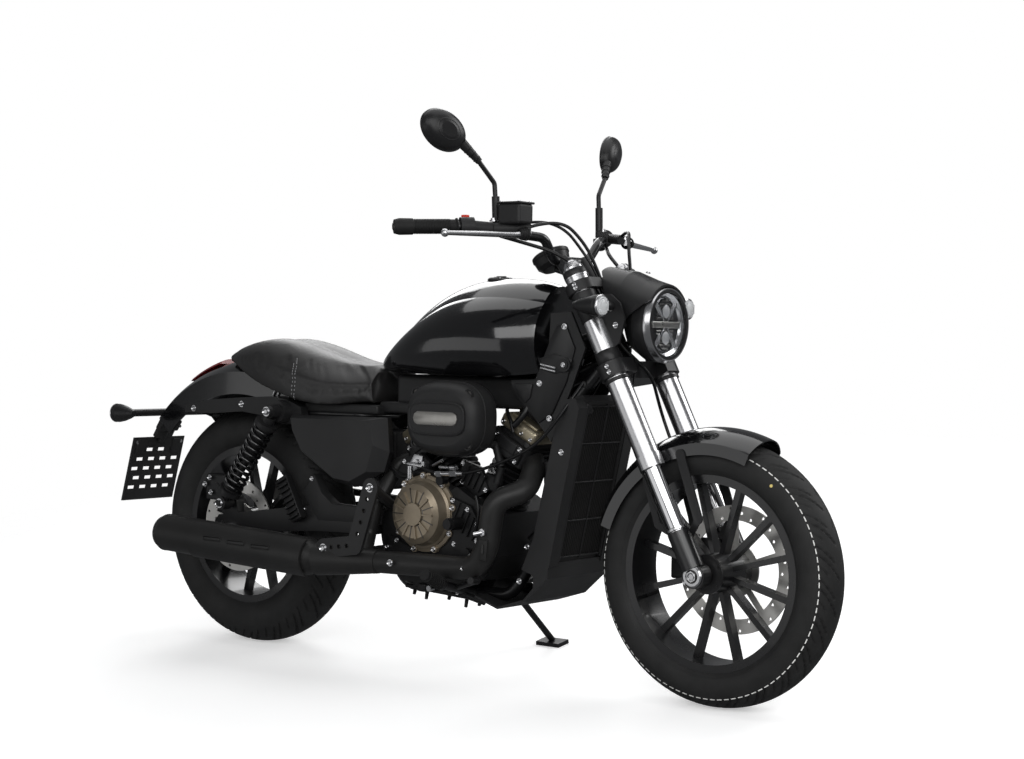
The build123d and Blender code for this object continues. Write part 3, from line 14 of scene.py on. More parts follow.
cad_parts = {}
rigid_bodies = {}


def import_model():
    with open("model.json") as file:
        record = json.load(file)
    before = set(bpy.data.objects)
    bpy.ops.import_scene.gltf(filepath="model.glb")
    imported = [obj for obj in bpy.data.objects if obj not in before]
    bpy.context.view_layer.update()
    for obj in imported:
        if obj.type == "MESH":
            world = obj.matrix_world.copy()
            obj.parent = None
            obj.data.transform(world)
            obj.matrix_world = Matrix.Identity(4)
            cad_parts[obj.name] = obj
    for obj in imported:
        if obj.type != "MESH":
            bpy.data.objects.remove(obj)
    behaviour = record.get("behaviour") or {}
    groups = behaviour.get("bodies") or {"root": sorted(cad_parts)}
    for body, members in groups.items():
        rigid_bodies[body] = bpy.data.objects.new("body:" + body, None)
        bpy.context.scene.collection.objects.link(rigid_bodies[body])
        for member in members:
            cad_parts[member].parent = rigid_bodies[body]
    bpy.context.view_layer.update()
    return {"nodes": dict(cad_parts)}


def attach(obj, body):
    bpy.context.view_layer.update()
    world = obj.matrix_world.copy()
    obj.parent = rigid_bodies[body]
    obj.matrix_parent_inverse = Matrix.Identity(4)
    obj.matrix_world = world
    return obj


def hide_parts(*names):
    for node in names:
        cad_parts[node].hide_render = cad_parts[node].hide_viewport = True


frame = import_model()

nodes = frame["nodes"]
print(len(nodes), "solids in the frame")

# %% [markdown]
# ## The leaned machine
# A parked motorcycle leans on its stand, which makes every coordinate awkward. The way round that is one
# matrix: a piece is modelled on the upright machine and this matrix puts it where the solids are.

# %% Lean and helpers
MM = 0.001
LEAN = radians(9)
STAND_UP = (Matrix.Translation((0.0766, -0.16207, 0.000985)) @ Matrix.Rotation(-LEAN, 4, "X")
            @ Matrix.Scale(MM, 4))
RAKE = radians(27)
FORK_UP = Vector((-sin(RAKE), 0, cos(RAKE)))
FRONT_AXLE = Vector((704, 0, 299))
REAR_AXLE = Vector((-704, 0, 310.5))
LEG_Y = 100


def on_leg(along, y=0.0, ahead=0.0):
    """Point beside the fork: along the leg from the axle, and ahead of it."""
    return FRONT_AXLE + FORK_UP * along + Vector((cos(RAKE), 0, sin(RAKE))) * ahead + Vector((0, y, 0))


def piece(name, bm, body, material, sharp=38):
    """Turns a bmesh in upright millimetres into a finished object that rides on a body."""
    bmesh.ops.remove_doubles(bm, verts=bm.verts, dist=0.002)
    bmesh.ops.recalc_face_normals(bm, faces=bm.faces)
    bm.transform(STAND_UP)
    mesh = bpy.data.meshes.new(name)
    bm.to_mesh(mesh)
    bm.free()
    mesh.shade_smooth()
    mesh.set_sharp_from_angle(angle=radians(sharp))
    obj = bpy.data.objects.new(name, mesh)
    bpy.context.scene.collection.objects.link(obj)
    mesh.materials.append(material)
    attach(obj, body)
    return obj


def facing(way, at=(0, 0, 0)):
    """Matrix that turns +Z to a direction and moves to a place."""
    turn = Vector((0, 0, 1)).rotation_difference(Vector(way).normalized()).to_matrix().to_4x4()
    return Matrix.Translation(at) @ turn


def rod(bm, start, end, radius, end_radius=None, sides=20):
    """Round bar or cone between two points."""
    a, b = Vector(start), Vector(end)
    made = bmesh.ops.create_cone(
        bm, cap_ends=True, segments=sides, radius1=radius,
        radius2=radius if end_radius is None else end_radius, depth=(b - a).length,
        matrix=facing(b - a, (a + b) / 2))
    return made["verts"]


def turned(bm, outline, at, way, steps=32):
    """Spins an outline of (radius, height) points round an axis."""
    place = facing(way, at)
    verts = [bm.verts.new((r, 0, h)) for r, h in outline]
    edges = [bm.edges.new(pair) for pair in zip(verts[:-1], verts[1:])]
    made = bmesh.ops.spin(bm, geom=verts + edges, axis=(0, 0, 1), cent=(0, 0, 0), steps=steps,
                          angle=2 * pi, use_merge=True)
    found = set(verts)
    for item in made["geom_last"]:
        if isinstance(item, bmesh.types.BMVert):
            found.add(item)
    ring = set()
    stack = list(found)
    while stack:
        v = stack.pop()
        if v.is_valid and v not in ring:
            ring.add(v)
            stack += [e.other_vert(v) for e in v.link_edges]
    bmesh.ops.remove_doubles(bm, verts=list(ring), dist=0.002)
    ring = [v for v in ring if v.is_valid]
    bmesh.ops.transform(bm, matrix=place, verts=ring)
    return ring


def brick(bm, at, size, turn=Matrix.Identity(4), soft=0.0):
    """Box of a size at a place, with its edges rounded."""
    made = bmesh.ops.create_cube(bm, size=1)["verts"]
    bmesh.ops.scale(bm, vec=size, verts=made)
    if soft:
        edges = list({e for v in made for e in v.link_edges})
        cut = bmesh.ops.bevel(bm, geom=edges, offset=soft, segments=3, affect="EDGES", profile=0.5,
                              material=-1)
        made = list({v for f in cut["faces"] for v in f.verts} | {v for v in made if v.is_valid})
    bmesh.ops.transform(bm, matrix=Matrix.Translation(at) @ turn, verts=made)
    return made


def socket_bolt(bm, at, way, radius, height):
    """Round bolt head with a flange and a hexagon socket."""
    way = Vector(way).normalized()
    at = Vector(at)
    rod(bm, at - way * 1.5, at + way * height * 0.25, radius * 1.35, sides=20)
    verts = rod(bm, at, at + way * height, radius, radius * 0.94, sides=18)
    caps = [f for f in {f for v in verts for f in v.link_faces} if len(f.verts) > 4]
    top = max(caps, key=lambda f: f.calc_center_median().dot(way))
    bmesh.ops.inset_region(bm, faces=[top], thickness=radius * 0.42, depth=0)
    bmesh.ops.translate(bm, vec=-way * height * 0.5, verts=top.verts)


def plank(bm, outline, y_low, y_high, soft=0.0, segments=2):
    """Plate with an outline of (x, z) points and faces square to Y."""
    ring = [bm.verts.new((x, y_low, z)) for x, z in outline]
    face = bm.faces.new(ring)
    made = bmesh.ops.extrude_face_region(bm, geom=[face])["geom"]
    far = [v for v in made if isinstance(v, bmesh.types.BMVert)]
    bmesh.ops.translate(bm, vec=(0, y_high - y_low, 0), verts=far)
    if soft:
        rim = {e for v in far for e in v.link_edges if e.other_vert(v) in far}
        bmesh.ops.bevel(bm, geom=list(rim), offset=soft, segments=segments, affect="EDGES",
                        profile=0.5, material=-1)


def bolt_row(bm, places, y, way, radius, height):
    """Bolts at (x, z) places on one face square to Y."""
    for x, z in places:
        socket_bolt(bm, (x, y, z), (0, way, 0), radius, height)


def both(bm):
    """Adds the mirror image on the other side of the machine."""
    copy = bmesh.ops.duplicate(bm, geom=bm.verts[:] + bm.edges[:] + bm.faces[:])["geom"]
    verts = [v for v in copy if isinstance(v, bmesh.types.BMVert)]
    bmesh.ops.scale(bm, vec=(1, -1, 1), verts=verts)
    bmesh.ops.reverse_faces(bm, faces=[f for f in copy if isinstance(f, bmesh.types.BMFace)])


def cable(name, points, radius, body, material):
    """Cable or hose: a smooth NURBS line given a thickness, made a mesh."""
    curve = bpy.data.curves.new(name, "CURVE")
    curve.dimensions = "3D"
    curve.bevel_depth = radius * MM
    curve.bevel_resolution = 4
    curve.resolution_u = 10
    curve.use_fill_caps = True
    line = curve.splines.new("NURBS")
    line.points.add(len(points) - 1)
    for knot, point in zip(line.points, points):
        knot.co = (*(STAND_UP @ Vector(point)), 1)
    line.order_u = 3
    line.use_endpoint_u = True
    holder = bpy.data.objects.new(name + "_line", curve)
    bpy.context.scene.collection.objects.link(holder)
    seen = holder.evaluated_get(bpy.context.evaluated_depsgraph_get())
    mesh = bpy.data.meshes.new_from_object(seen)
    bpy.data.objects.remove(holder)
    mesh.shade_smooth()
    obj = bpy.data.objects.new(name, mesh)
    bpy.context.scene.collection.objects.link(obj)
    mesh.materials.clear()
    mesh.materials.append(material)
    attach(obj, body)
    return obj


# %% [markdown]
# ## Shared effects for the finishes
# Paint, plastic and castings all vary a little from place to place. Two node groups hold that once:
# one gives a tone that drifts between two colours with fine specks of dust, the other gives roughness
# and a height for the bump. Each material puts them in with its own numbers.

# %% Node groups
def constants(node, **values):
    """Sets plain numbers and colours on a node's own sockets."""
    for label, value in values.items():
        node.inputs[label.replace("_", " ")].default_value = value
    return node


def add(tree, kind, **values):
    """New shader node with its constants."""
    return constants(tree.nodes.new("ShaderNode" + kind), **values)


def shared(tree, group, **values):
    """One of the shared groups, with this material's numbers."""
    node = tree.nodes.new("ShaderNodeGroup")
    node.node_tree = group
    return constants(node, **values)


def join(tree, *rows):
    """Links (node, output, node, input) rows."""
    for start, output, end, entry in rows:
        tree.links.new(start.outputs[output], end.inputs[entry])


def new_group(name, inputs, outputs):
    """Empty shader node group with named sockets."""
    group = bpy.data.node_groups.new(name, "ShaderNodeTree")
    for label, kind, value in inputs:
        sock = group.interface.new_socket(label, in_out="INPUT", socket_type=kind)
        sock.default_value = value
    for label, kind in outputs:
        group.interface.new_socket(label, in_out="OUTPUT", socket_type=kind)
    return group, group.nodes.new("NodeGroupInput"), group.nodes.new("NodeGroupOutput")


def new_material(name):
    """Material with its node tree and its shader."""
    mat = bpy.data.materials.new(name)
    mat.use_nodes = True
    return mat, mat.node_tree, mat.node_tree.nodes["Principled BSDF"]


FLOAT, COLOUR = "NodeSocketFloat", "NodeSocketColor"
tone_group, g_in, g_out = new_group(
    "drifting_tone",
    [("Deep", COLOUR, (0, 0, 0, 1)), ("Worn", COLOUR, (0.1, 0.1, 0.1, 1)), ("Scale", FLOAT, 9.0),
     ("Dust", FLOAT, 0.05)], [("Color", COLOUR)])
place = add(tone_group, "TexCoord")
cloud = add(tone_group, "TexNoise", Detail=4)
specks = add(tone_group, "TexNoise", Scale=900)
speck_mask = add(tone_group, "MapRange", From_Min=0.62, From_Max=0.78)
speck_share = add(tone_group, "Math")
speck_share.operation = "MULTIPLY"
drift = add(tone_group, "Math")
drift.operation = "MULTIPLY_ADD"
drift.inputs[1].default_value = 0.75
mixed = add(tone_group, "Mix")
mixed.data_type = "RGBA"
join(tone_group,
     (place, "Object", cloud, "Vector"), (place, "Object", specks, "Vector"),
     (g_in, "Scale", cloud, "Scale"), (specks, "Fac", speck_mask, "Value"),
     (speck_mask, "Result", speck_share, 0), (g_in, "Dust", speck_share, 1),
     (cloud, "Fac", drift, 0), (speck_share, "Value", drift, 2), (drift, "Value", mixed, "Factor"),
     (g_in, "Deep", mixed, "A"), (g_in, "Worn", mixed, "B"), (mixed, "Result", g_out, "Color"))

skin_group, g_in, g_out = new_group(
    "skin",
    [("Scale", FLOAT, 200.0), ("Smooth", FLOAT, 0.2), ("Rough", FLOAT, 0.3)],
    [("Roughness", FLOAT), ("Height", FLOAT)])
place = add(skin_group, "TexCoord")
pores = add(skin_group, "TexNoise", Detail=3)
smears = add(skin_group, "TexNoise", Scale=6, Detail=5)
spread = add(skin_group, "MapRange", From_Min=0.3, From_Max=0.7)
join(skin_group,
     (place, "Object", pores, "Vector"), (place, "Object", smears, "Vector"),
     (g_in, "Scale", pores, "Scale"), (smears, "Fac", spread, "Value"),
     (g_in, "Smooth", spread, "To Min"), (g_in, "Rough", spread, "To Max"),
     (spread, "Result", g_out, "Roughness"), (pores, "Fac", g_out, "Height"))


# %% [markdown]
# ## One builder for painted and moulded surfaces
# A finish is a row of numbers: two tones, how smooth and how rough it gets, the size and depth of its
# grain, how metallic it is and whether it has a clear coat. Constants go straight onto the shader.

# %% Finish builder
def finish(name, deep, worn, smooth, rough, grain=200.0, depth=0.0, metal=0.0, coat=0.0,
           patch=9.0, dust=0.05):
    """Material with drifting tone, uneven gloss and a fine bump."""
    mat, tree, shader = new_material(name)
    constants(shader, Metallic=metal, Coat_Weight=coat, Coat_Roughness=0.04,
              Specular_IOR_Level=0.5 if coat or metal > 0.7 else 0.28)
    tone = shared(tree, tone_group, Deep=(*deep, 1), Worn=(*worn, 1), Scale=patch, Dust=dust)
    skin = shared(tree, skin_group, Scale=grain, Smooth=smooth, Rough=rough)
    join(tree, (tone, "Color", shader, "Base Color"), (skin, "Roughness", shader, "Roughness"))
    if depth:
        bump = add(tree, "Bump", Strength=depth, Distance=0.0004)
        join(tree, (skin, "Height", bump, "Height"), (bump, "Normal", shader, "Normal"))
    return mat


gloss_black = finish("gloss_black_paint", (0.002, 0.002, 0.0025), (0.005, 0.005, 0.0055), 0.10, 0.18,
                     grain=60, depth=0.02, coat=0.6, dust=0.02)
satin_black = finish("satin_black_paint", (0.008, 0.008, 0.0085), (0.018, 0.018, 0.0185), 0.32, 0.42,
                     grain=700, depth=0.06, dust=0.03)
frame_black = finish("frame_black", (0.003, 0.003, 0.0035), (0.008, 0.008, 0.0085), 0.24, 0.34,
                     grain=400, depth=0.05, coat=0.25)
matt_plastic = finish("moulded_black_plastic", (0.011, 0.011, 0.0115), (0.023, 0.023, 0.0235), 0.46, 0.58,
                      grain=1500, depth=0.30, dust=0.08)
hot_black = finish("heatproof_black", (0.013, 0.013, 0.013), (0.028, 0.0275, 0.027), 0.36, 0.48,
                   grain=1200, depth=0.12, metal=0.2, dust=0.06)
cast_black = finish("cast_black", (0.008, 0.008, 0.0085), (0.022, 0.022, 0.0225), 0.34, 0.50,
                    grain=900, depth=0.35, metal=0.35, patch=22, dust=0.15)
bronze = finish("bronze_cast_paint", (0.20, 0.165, 0.12), (0.34, 0.29, 0.22), 0.30, 0.42,
                grain=900, depth=0.25, metal=0.65, patch=30, dust=0.1)
brass_cover = finish("brass_toned_cast", (0.30, 0.26, 0.18), (0.48, 0.43, 0.33), 0.28, 0.42,
                     grain=800, depth=0.3, metal=0.8, patch=35, dust=0.1)
bright_steel = finish("bright_steel", (0.50, 0.50, 0.51), (0.66, 0.66, 0.67), 0.16, 0.32,
                      grain=500, depth=0.05, metal=1.0, patch=40)
fork_alloy = finish("turned_alloy", (0.46, 0.46, 0.47), (0.62, 0.62, 0.63), 0.20, 0.30,
                    grain=300, depth=0.03, metal=1.0, patch=14)
chrome = finish("hard_chrome", (0.62, 0.62, 0.63), (0.74, 0.74, 0.75), 0.05, 0.10,
                grain=300, depth=0.01, metal=1.0, patch=10)
disc_steel = finish("brake_disc_steel", (0.56, 0.55, 0.53), (0.74, 0.73, 0.70), 0.34, 0.48,
                    grain=420, depth=0.10, metal=1.0, patch=55)
dark_steel = finish("dark_steel", (0.055, 0.054, 0.052), (0.14, 0.135, 0.13), 0.30, 0.45,
                    grain=600, depth=0.15, metal=0.9, patch=45)
grip_rubber = finish("grip_rubber", (0.004, 0.004, 0.004), (0.011, 0.011, 0.011), 0.55, 0.70,
                     grain=900, depth=0.5, dust=0.12)
cable_skin = finish("cable_sheath", (0.004, 0.004, 0.0045), (0.010, 0.010, 0.0105), 0.28, 0.40,
                    grain=900, depth=0.10)
grey_thread = finish("grey_thread", (0.26, 0.26, 0.27), (0.40, 0.40, 0.41), 0.60, 0.75,
                     grain=2500, depth=0.5)
white_mark = finish("white_mark", (0.66, 0.66, 0.64), (0.80, 0.80, 0.78), 0.50, 0.65,
                    grain=900, depth=0.2)
yellow_mark = finish("yellow_mark", (0.70, 0.55, 0.16), (0.82, 0.68, 0.28), 0.50, 0.60,
                     grain=900, depth=0.2)
kill_red = finish("red_switch", (0.55, 0.035, 0.02), (0.70, 0.07, 0.04), 0.35, 0.45, grain=900,
                  depth=0.1)
fin_black = finish("radiator_fin_black", (0.012, 0.012, 0.012), (0.030, 0.030, 0.030), 0.45, 0.55,
                   grain=1500, depth=0.2, dust=0.1)
badge_grey = finish("brushed_badge", (0.30, 0.29, 0.27), (0.42, 0.41, 0.39), 0.26, 0.38,
                    grain=1400, depth=0.15, metal=0.9, patch=60)
print(len(bpy.data.materials), "finishes so far")

# %% [markdown]
# ## Tyre rubber
# A new tyre is dark grey rather than black, duller where the mould was sandblasted and faintly streaked
# along its walls. Two noise scales through the shared groups give that.

# %% Tyre rubber, glass and lamp plastics
tyre_rubber = finish("tyre_rubber", (0.008, 0.008, 0.008), (0.024, 0.024, 0.024), 0.52, 0.72,
                     grain=700, depth=0.45, patch=26, dust=0.35)


def clear(name, colour, rough, ior=1.5, weight=1.0):
    """Clear or tinted lens plastic with a slightly uneven surface."""
    mat, tree, shader = new_material(name)
    constants(shader, Base_Color=(*colour, 1), Transmission_Weight=weight, IOR=ior)
    skin = shared(tree, skin_group, Scale=90, Smooth=rough, Rough=rough + 0.05)
    bump = add(tree, "Bump", Strength=0.05, Distance=0.0003)
    join(tree, (skin, "Roughness", shader, "Roughness"), (skin, "Height", bump, "Height"),
         (bump, "Normal", shader, "Normal"))
    return mat


head_glass = clear("headlight_glass", (0.96, 0.97, 0.98), 0.01, 1.35)
lamp_clear = clear("clear_lamp_lens", (0.92, 0.93, 0.94), 0.06, 1.3, 0.55)
lamp_red = clear("red_lamp_lens", (0.30, 0.008, 0.01), 0.08, 1.45, 0.35)

# %% [markdown]
# ## Finishes for the solids
# Solids whose shape is already right keep it and only take a finish. The table is the quickest way to
# see which piece of the machine is painted, cast, turned or moulded.

# %% Finish table
SOLID_FINISH = {
    "fuel_tank": gloss_black, "rear_fender": gloss_black, "front_fender": gloss_black,
    "fender_stays": satin_black, "frame_spine": frame_black, "frame_cradle": frame_black,
    "swingarm": satin_black, "triple_clamps": satin_black, "crankcase": cast_black,
    "left_engine_cover": cast_black, "cylinders": cast_black, "cylinder_heads": cast_black,
    "clutch_cover": bronze, "header_pipes": hot_black, "muffler": hot_black,
    "muffler_shield": hot_black, "muffler_hanger": satin_black, "fender_struts": satin_black,
    "side_covers": satin_black, "neck_covers": satin_black, "radiator_shroud": matt_plastic,
    "radiator": fin_black, "visor": satin_black, "headlight_ears": satin_black,
    "headlight_shell": satin_black, "handlebar": frame_black, "front_wheel": frame_black,
    "rear_wheel": frame_black, "shocks": satin_black, "shock_springs": gloss_black,
    "side_stand": frame_black, "plate_holder": matt_plastic, "levers": bright_steel,
    "front_caliper": satin_black, "rear_caliper": satin_black, "front_disc": disc_steel,
    "rear_disc": disc_steel, "sprocket": dark_steel, "drive_chain": dark_steel,
    "rear_axle": bright_steel, "front_axle": dark_steel, "fork_outer_tubes": fork_alloy,
    "fork_caps": fork_alloy, "axle_lugs": frame_black, "fork_inner_tubes": chrome,
    "air_cleaner": matt_plastic, "right_control": matt_plastic, "left_control": matt_plastic,
    "mirrors": satin_black, "speedometer": satin_black, "grips": grip_rubber,
    "foot_pegs": satin_black, "front_tyre": tyre_rubber, "rear_tyre": tyre_rubber,
    "saddle": grip_rubber, "headlight_lens": head_glass, "tail_lamp": lamp_red,
    "front_indicators": satin_black, "rear_indicators": satin_black,
    "under_seat_boxes": matt_plastic,
}
for node, material in SOLID_FINISH.items():
    mesh = nodes[node].data
    mesh.materials.clear()
    mesh.materials.append(material)
print(len(SOLID_FINISH), "solids finished of", len(nodes))

# %% [markdown]
# ## Road tyres
# A tyre is one turned section with grooves moulded into it. The section is spun in fine steps and every
# point of the tread that falls in a groove is pressed towards the axle, so the grooves are real and
# catch the light at the shoulder. The pattern sweeps back from the centre line on both sides.

# %% Tyres with tread
LIP = 12.0
SEAT_GAP = 0.3
GROOVE_DEPTH = 4.2
GROOVES = (  # first and last share across the half tread, lead, sweep per share, half width
    (0.05, 0.94, 0.00, 0.95, 0.046),
    (0.30, 0.98, 0.74, 0.95, 0.040),
    (0.62, 0.99, 0.37, 0.95, 0.030),
)


def groove_depth(turn, share, repeats):
    """Depth of the tread at an angle and a share from the centre line to the shoulder."""
    reach = abs(share)
    offset = 0.5 if share > 0 else 0.0
    deepest = 0.0
    for first, last, lead, sweep, half in GROOVES:
        if first < reach < last:
            phase = (turn * repeats / (2 * pi) + lead + offset - sweep * reach) % 1.0
            gap = min(phase, 1 - phase)
            ends = min(1.0, (reach - first) / 0.06, (last - reach) / 0.04)
            deepest = max(deepest, ends * min(1.0, max(0.0, (half - gap) / (half * 0.45))))
    return deepest * GROOVE_DEPTH


def arc_points(a, middle, b, count):
    """Points of a circular arc through three (radius, y) points, without its first point."""
    ax, ay, bx, by, cx, cy = *a, *middle, *b
    d = 2 * (ax * (by - cy) + bx * (cy - ay) + cx * (ay - by))
    a2, b2, c2 = ax * ax + ay * ay, bx * bx + by * by, cx * cx + cy * cy
    ox = (a2 * (by - cy) + b2 * (cy - ay) + c2 * (ay - by)) / d
    oy = (a2 * (cx - bx) + b2 * (ax - cx) + c2 * (bx - ax)) / d
    start = atan2(ay - oy, ax - ox)
    end = atan2(cy - oy, cx - ox)
    sweep = (end - start + pi) % (2 * pi) - pi
    radius = Vector((ax - ox, ay - oy)).length
    return [(ox + radius * cos(start + sweep * k / count), oy + radius * sin(start + sweep * k / count))
            for k in range(1, count + 1)]


def tyre_section(radius, width, rim, crown, tread_count=44):
    """(radius, y) points of the tyre from one bead over the tread to the other."""
    half = width / 2
    bead = rim + SEAT_GAP
    wall = bead + (radius - bead) * 0.5
    angle = asin(min(0.95, (half - 8) / crown))
    edge = (radius - crown * (1 - cos(angle)), crown * sin(angle))
    lip = (rim + LIP + SEAT_GAP, half * 0.7 + 7.6)
    side = [(bead, half * 0.7), (lip[0], half * 0.7), lip] + arc_points(lip, (wall, half), edge, 11)
    tread = [(radius - crown * (1 - cos(angle * (1 - 2 * k / tread_count))),
              crown * sin(angle * (1 - 2 * k / tread_count))) for k in range(1, tread_count)]
    return side + tread + [(r, -y) for r, y in reversed(side)], edge


def on_tyre(centre, radius, crown, turn, share, half, rise):
    """Point over the tread at an angle and a share across it."""
    angle = asin(min(0.95, (half - 8) / crown)) * share
    reach = radius - crown * (1 - cos(angle)) + rise * cos(angle)
    return centre + Vector((reach * cos(turn), crown * sin(angle) + rise * sin(angle), reach * sin(turn)))


FRONT_R, FRONT_WIDTH, FRONT_CROWN = 299.0, 120.0, 66.0
TYRES = (  # node, wheel body, axle, radius, width, rim, crown radius, pattern repeats, angle of the dot
    ("front_tyre", "front_wheel", FRONT_AXLE, FRONT_R, FRONT_WIDTH, 206.0, FRONT_CROWN, 24, 52),
    ("rear_tyre", "rear_wheel", REAR_AXLE, 310.5, 150.0, 193.0, 80.0, 22, 104),
)
for node, body, axle, radius, width, rim, crown, repeats, dot in TYRES:
    section, edge = tyre_section(radius, width, rim, crown)
    bm = bmesh.new()
    verts = [bm.verts.new((r, y, 0)) for r, y in section]
    edges = [bm.edges.new(pair) for pair in zip(verts, verts[1:] + verts[:1])]
    bmesh.ops.spin(bm, geom=verts + edges, axis=(0, 1, 0), cent=(0, 0, 0), steps=700, angle=2 * pi,
                   use_merge=True)
    bmesh.ops.remove_doubles(bm, verts=bm.verts, dist=0.002)
    for v in bm.verts:
        reach = Vector((v.co.x, v.co.z)).length
        if reach > edge[0] + 0.01:
            depth = groove_depth(atan2(v.co.z, v.co.x), v.co.y / edge[1], repeats)
            v.co.x *= 1 - depth / reach
            v.co.z *= 1 - depth / reach
    bmesh.ops.translate(bm, vec=axle, verts=bm.verts)
    tyre = piece(node + "_treaded", bm, body, tyre_rubber, sharp=32)
    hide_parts(node)

    bm = bmesh.new()
    for side in (-1, 1):
        for ring_r in (rim + 20, rim + 24):
            outline = [(ring_r, 0), (ring_r + 1.2, 1.4), (ring_r + 2.4, 0)]
            turned(bm, outline, axle + Vector((0, side * (width * 0.35 + 12.5), 0)), (0, side, 0), 120)
    piece(node + "_wall_rings", bm, body, tyre_rubber)

    bm = bmesh.new()
    wall_y = -(width / 2 - 2.0)
    at = axle + Vector(((rim + 52) * cos(radians(dot)), wall_y, (rim + 52) * sin(radians(dot))))
    rod(bm, at + Vector((0, 2.5, 0)), at - Vector((0, 2.2, 0)), 3.4)
    piece(node + "_balance_dot", bm, body, yellow_mark)
    print(node, "treaded")

# %% [markdown]
# The front tyre still wears the white moulding dashes of a new tyre along both shoulders. They are thin
# tabs laid on the rubber, following the pitch of the pattern.

# %% Shoulder dashes
bm = bmesh.new()
DASHES = 96
for side in (-1, 1):
    for k in range(DASHES):
        turn = 2 * pi * k / DASHES
        at, over = (on_tyre(FRONT_AXLE, FRONT_R, FRONT_CROWN, turn, side * 0.985, FRONT_WIDTH / 2, rise)
                    for rise in (0.1, 1.0))
        out = over - at
        along = Vector((-sin(turn), 0, cos(turn)))
        turn_to = Matrix((along, out.normalized().cross(along), out.normalized())).transposed().to_4x4()
        brick(bm, at, (11.5, 2.2, 1.0), turn_to)
piece("front_tyre_dashes", bm, "front_wheel", white_mark)

# %% [markdown]
# ## Wheels and brakes
# A cast wheel has windows in its hub, a bearing seal, and bolts that hold the brake disc and the chain
# wheel. A valve stands in the rim, and small bright steel ticks round both faces of the rim are painted
# highlights.

# %% Wheel fittings
WHEELS = (  # body, axle, rim radius, disc side, bolt ring radius, disc face, far hub face
    ("front_wheel", FRONT_AXLE, 206.0, 1, 52.0, 70.3, -58.0),
    ("rear_wheel", REAR_AXLE, 193.0, -1, 52.0, -90.3, 89.7),
)
for body, axle, rim, side, ring, disc_face, hub_face in WHEELS:
    bm = bmesh.new()
    for k in range(5):
        turn = radians(72 * k + 14)
        at = axle + Vector((ring * cos(turn), disc_face, ring * sin(turn)))
        socket_bolt(bm, at, (0, side, 0), 5, 2.2)
    piece(body + "_disc_bolts", bm, body, bright_steel)
    bm = bmesh.new()
    step = 1 if hub_face > 0 else -1
    seal_at = axle + Vector((0, hub_face, 0))
    turned(bm, [(19, 0), (19, 1.6), (30, 2.4), (33, 1.2), (42, 1.2), (43, 0)], seal_at, (0, step, 0), 48)
    for k in range(5):
        turn = radians(72 * k + 30)
        at = seal_at + Vector((37 * cos(turn), step * 0.8, 37 * sin(turn)))
        rod(bm, at, at + Vector((0, step * 1.6, 0)), 3.4)
    piece(body + "_hub_seal", bm, body, satin_black)
    bm = bmesh.new()
    turn = radians(200)
    root = axle + Vector(((rim - 6) * cos(turn), 0, (rim - 6) * sin(turn)))
    tip = axle + Vector(((rim - 34) * cos(turn), -10, (rim - 34) * sin(turn)))
    rod(bm, root, tip, 4.0)
    rod(bm, tip, tip + (tip - root).normalized() * 9, 4.6)
    piece(body + "_valve", bm, body, grip_rubber)
    # Painted highlights: twelve bright steel ticks on each rim face stand in for glints of light on the rim.
    bm = bmesh.new()
    for k in range(12):
        turn = radians(30 * k + 15)
        out = Vector((cos(turn), 0, sin(turn)))
        for face in (-1, 1):
            brick(bm, axle + out * (rim - 9) + Vector((0, face * 8.4, 0)), (5.5, 0.8, 3.5),
                  Matrix.Rotation(-turn, 4, "Y"))
    piece(body + "_painted_rim_glints", bm, body, bright_steel)
print("wheel fittings made")

# %% [markdown]
# ## Leather saddle
# The cover of a motorcycle saddle is stretched over foam, so it is tight on top and rounds over at its
# rim. The plain solid is remeshed, blown up a few millimetres as cloth under pressure, and held at its
# underside where the pan grips it. How far a point may move is capped, so that the saddle keeps its place.

# %% Saddle cover by cloth
leather, tree, shader = new_material("grained_leather")
tone = shared(tree, tone_group, Deep=(0.010, 0.010, 0.010, 1), Worn=(0.024, 0.023, 0.023, 1), Scale=12)
skin = shared(tree, skin_group, Scale=700, Smooth=0.36, Rough=0.48)
where = add(tree, "TexCoord")
grain = add(tree, "TexVoronoi", Scale=420)
grain_bump = add(tree, "Bump", Strength=0.35, Distance=0.0005)
join(tree, (where, "Object", grain, "Vector"), (grain, "Distance", grain_bump, "Height"),
     (grain_bump, "Normal", shader, "Normal"), (tone, "Color", shader, "Base Color"),
     (skin, "Roughness", shader, "Roughness"))

PUFF = 0.007                     # metres that the cover may rise
UPRIGHT = STAND_UP.inverted()
source = nodes["saddle"].data.copy()
saddle = bpy.data.objects.new("saddle_cover", source)
scene_items = bpy.context.scene.collection.objects
scene_items.link(saddle)
bm = bmesh.new()
bm.from_mesh(source)
bmesh.ops.remove_doubles(bm, verts=bm.verts, dist=1e-5)
bm.to_mesh(source)
bm.free()
remesh = saddle.modifiers.new("remesh", "REMESH")
remesh.mode = "VOXEL"
remesh.voxel_size = 0.006
shape = saddle.evaluated_get(bpy.context.evaluated_depsgraph_get())
saddle.data = bpy.data.meshes.new_from_object(shape)
saddle.modifiers.clear()
bm = bmesh.new()
bm.from_mesh(saddle.data)
bm.normal_update()
for v in bm.verts:
    v.co -= v.normal * 0.003
for _ in range(3):
    bmesh.ops.smooth_vert(bm, verts=bm.verts, factor=0.5, use_axis_x=True, use_axis_y=True,
                          use_axis_z=True)
bm.to_mesh(saddle.data)
bm.free()
start = [v.co.copy() for v in saddle.data.vertices]
held = saddle.vertex_groups.new(name="held")
for v in saddle.data.vertices:
    up = (UPRIGHT @ (v.co + v.normal * 0.001)) - (UPRIGHT @ v.co)
    if up.normalized().z < -0.35:
        held.add([v.index], 1.0, "REPLACE")
cloth = saddle.modifiers.new("cloth", "CLOTH")
cloth.settings.use_pressure = True
cloth.settings.uniform_pressure_force = 4
cloth.settings.effector_weights.gravity = 0
cloth.settings.vertex_group_mass = "held"
cloth.settings.quality = 6
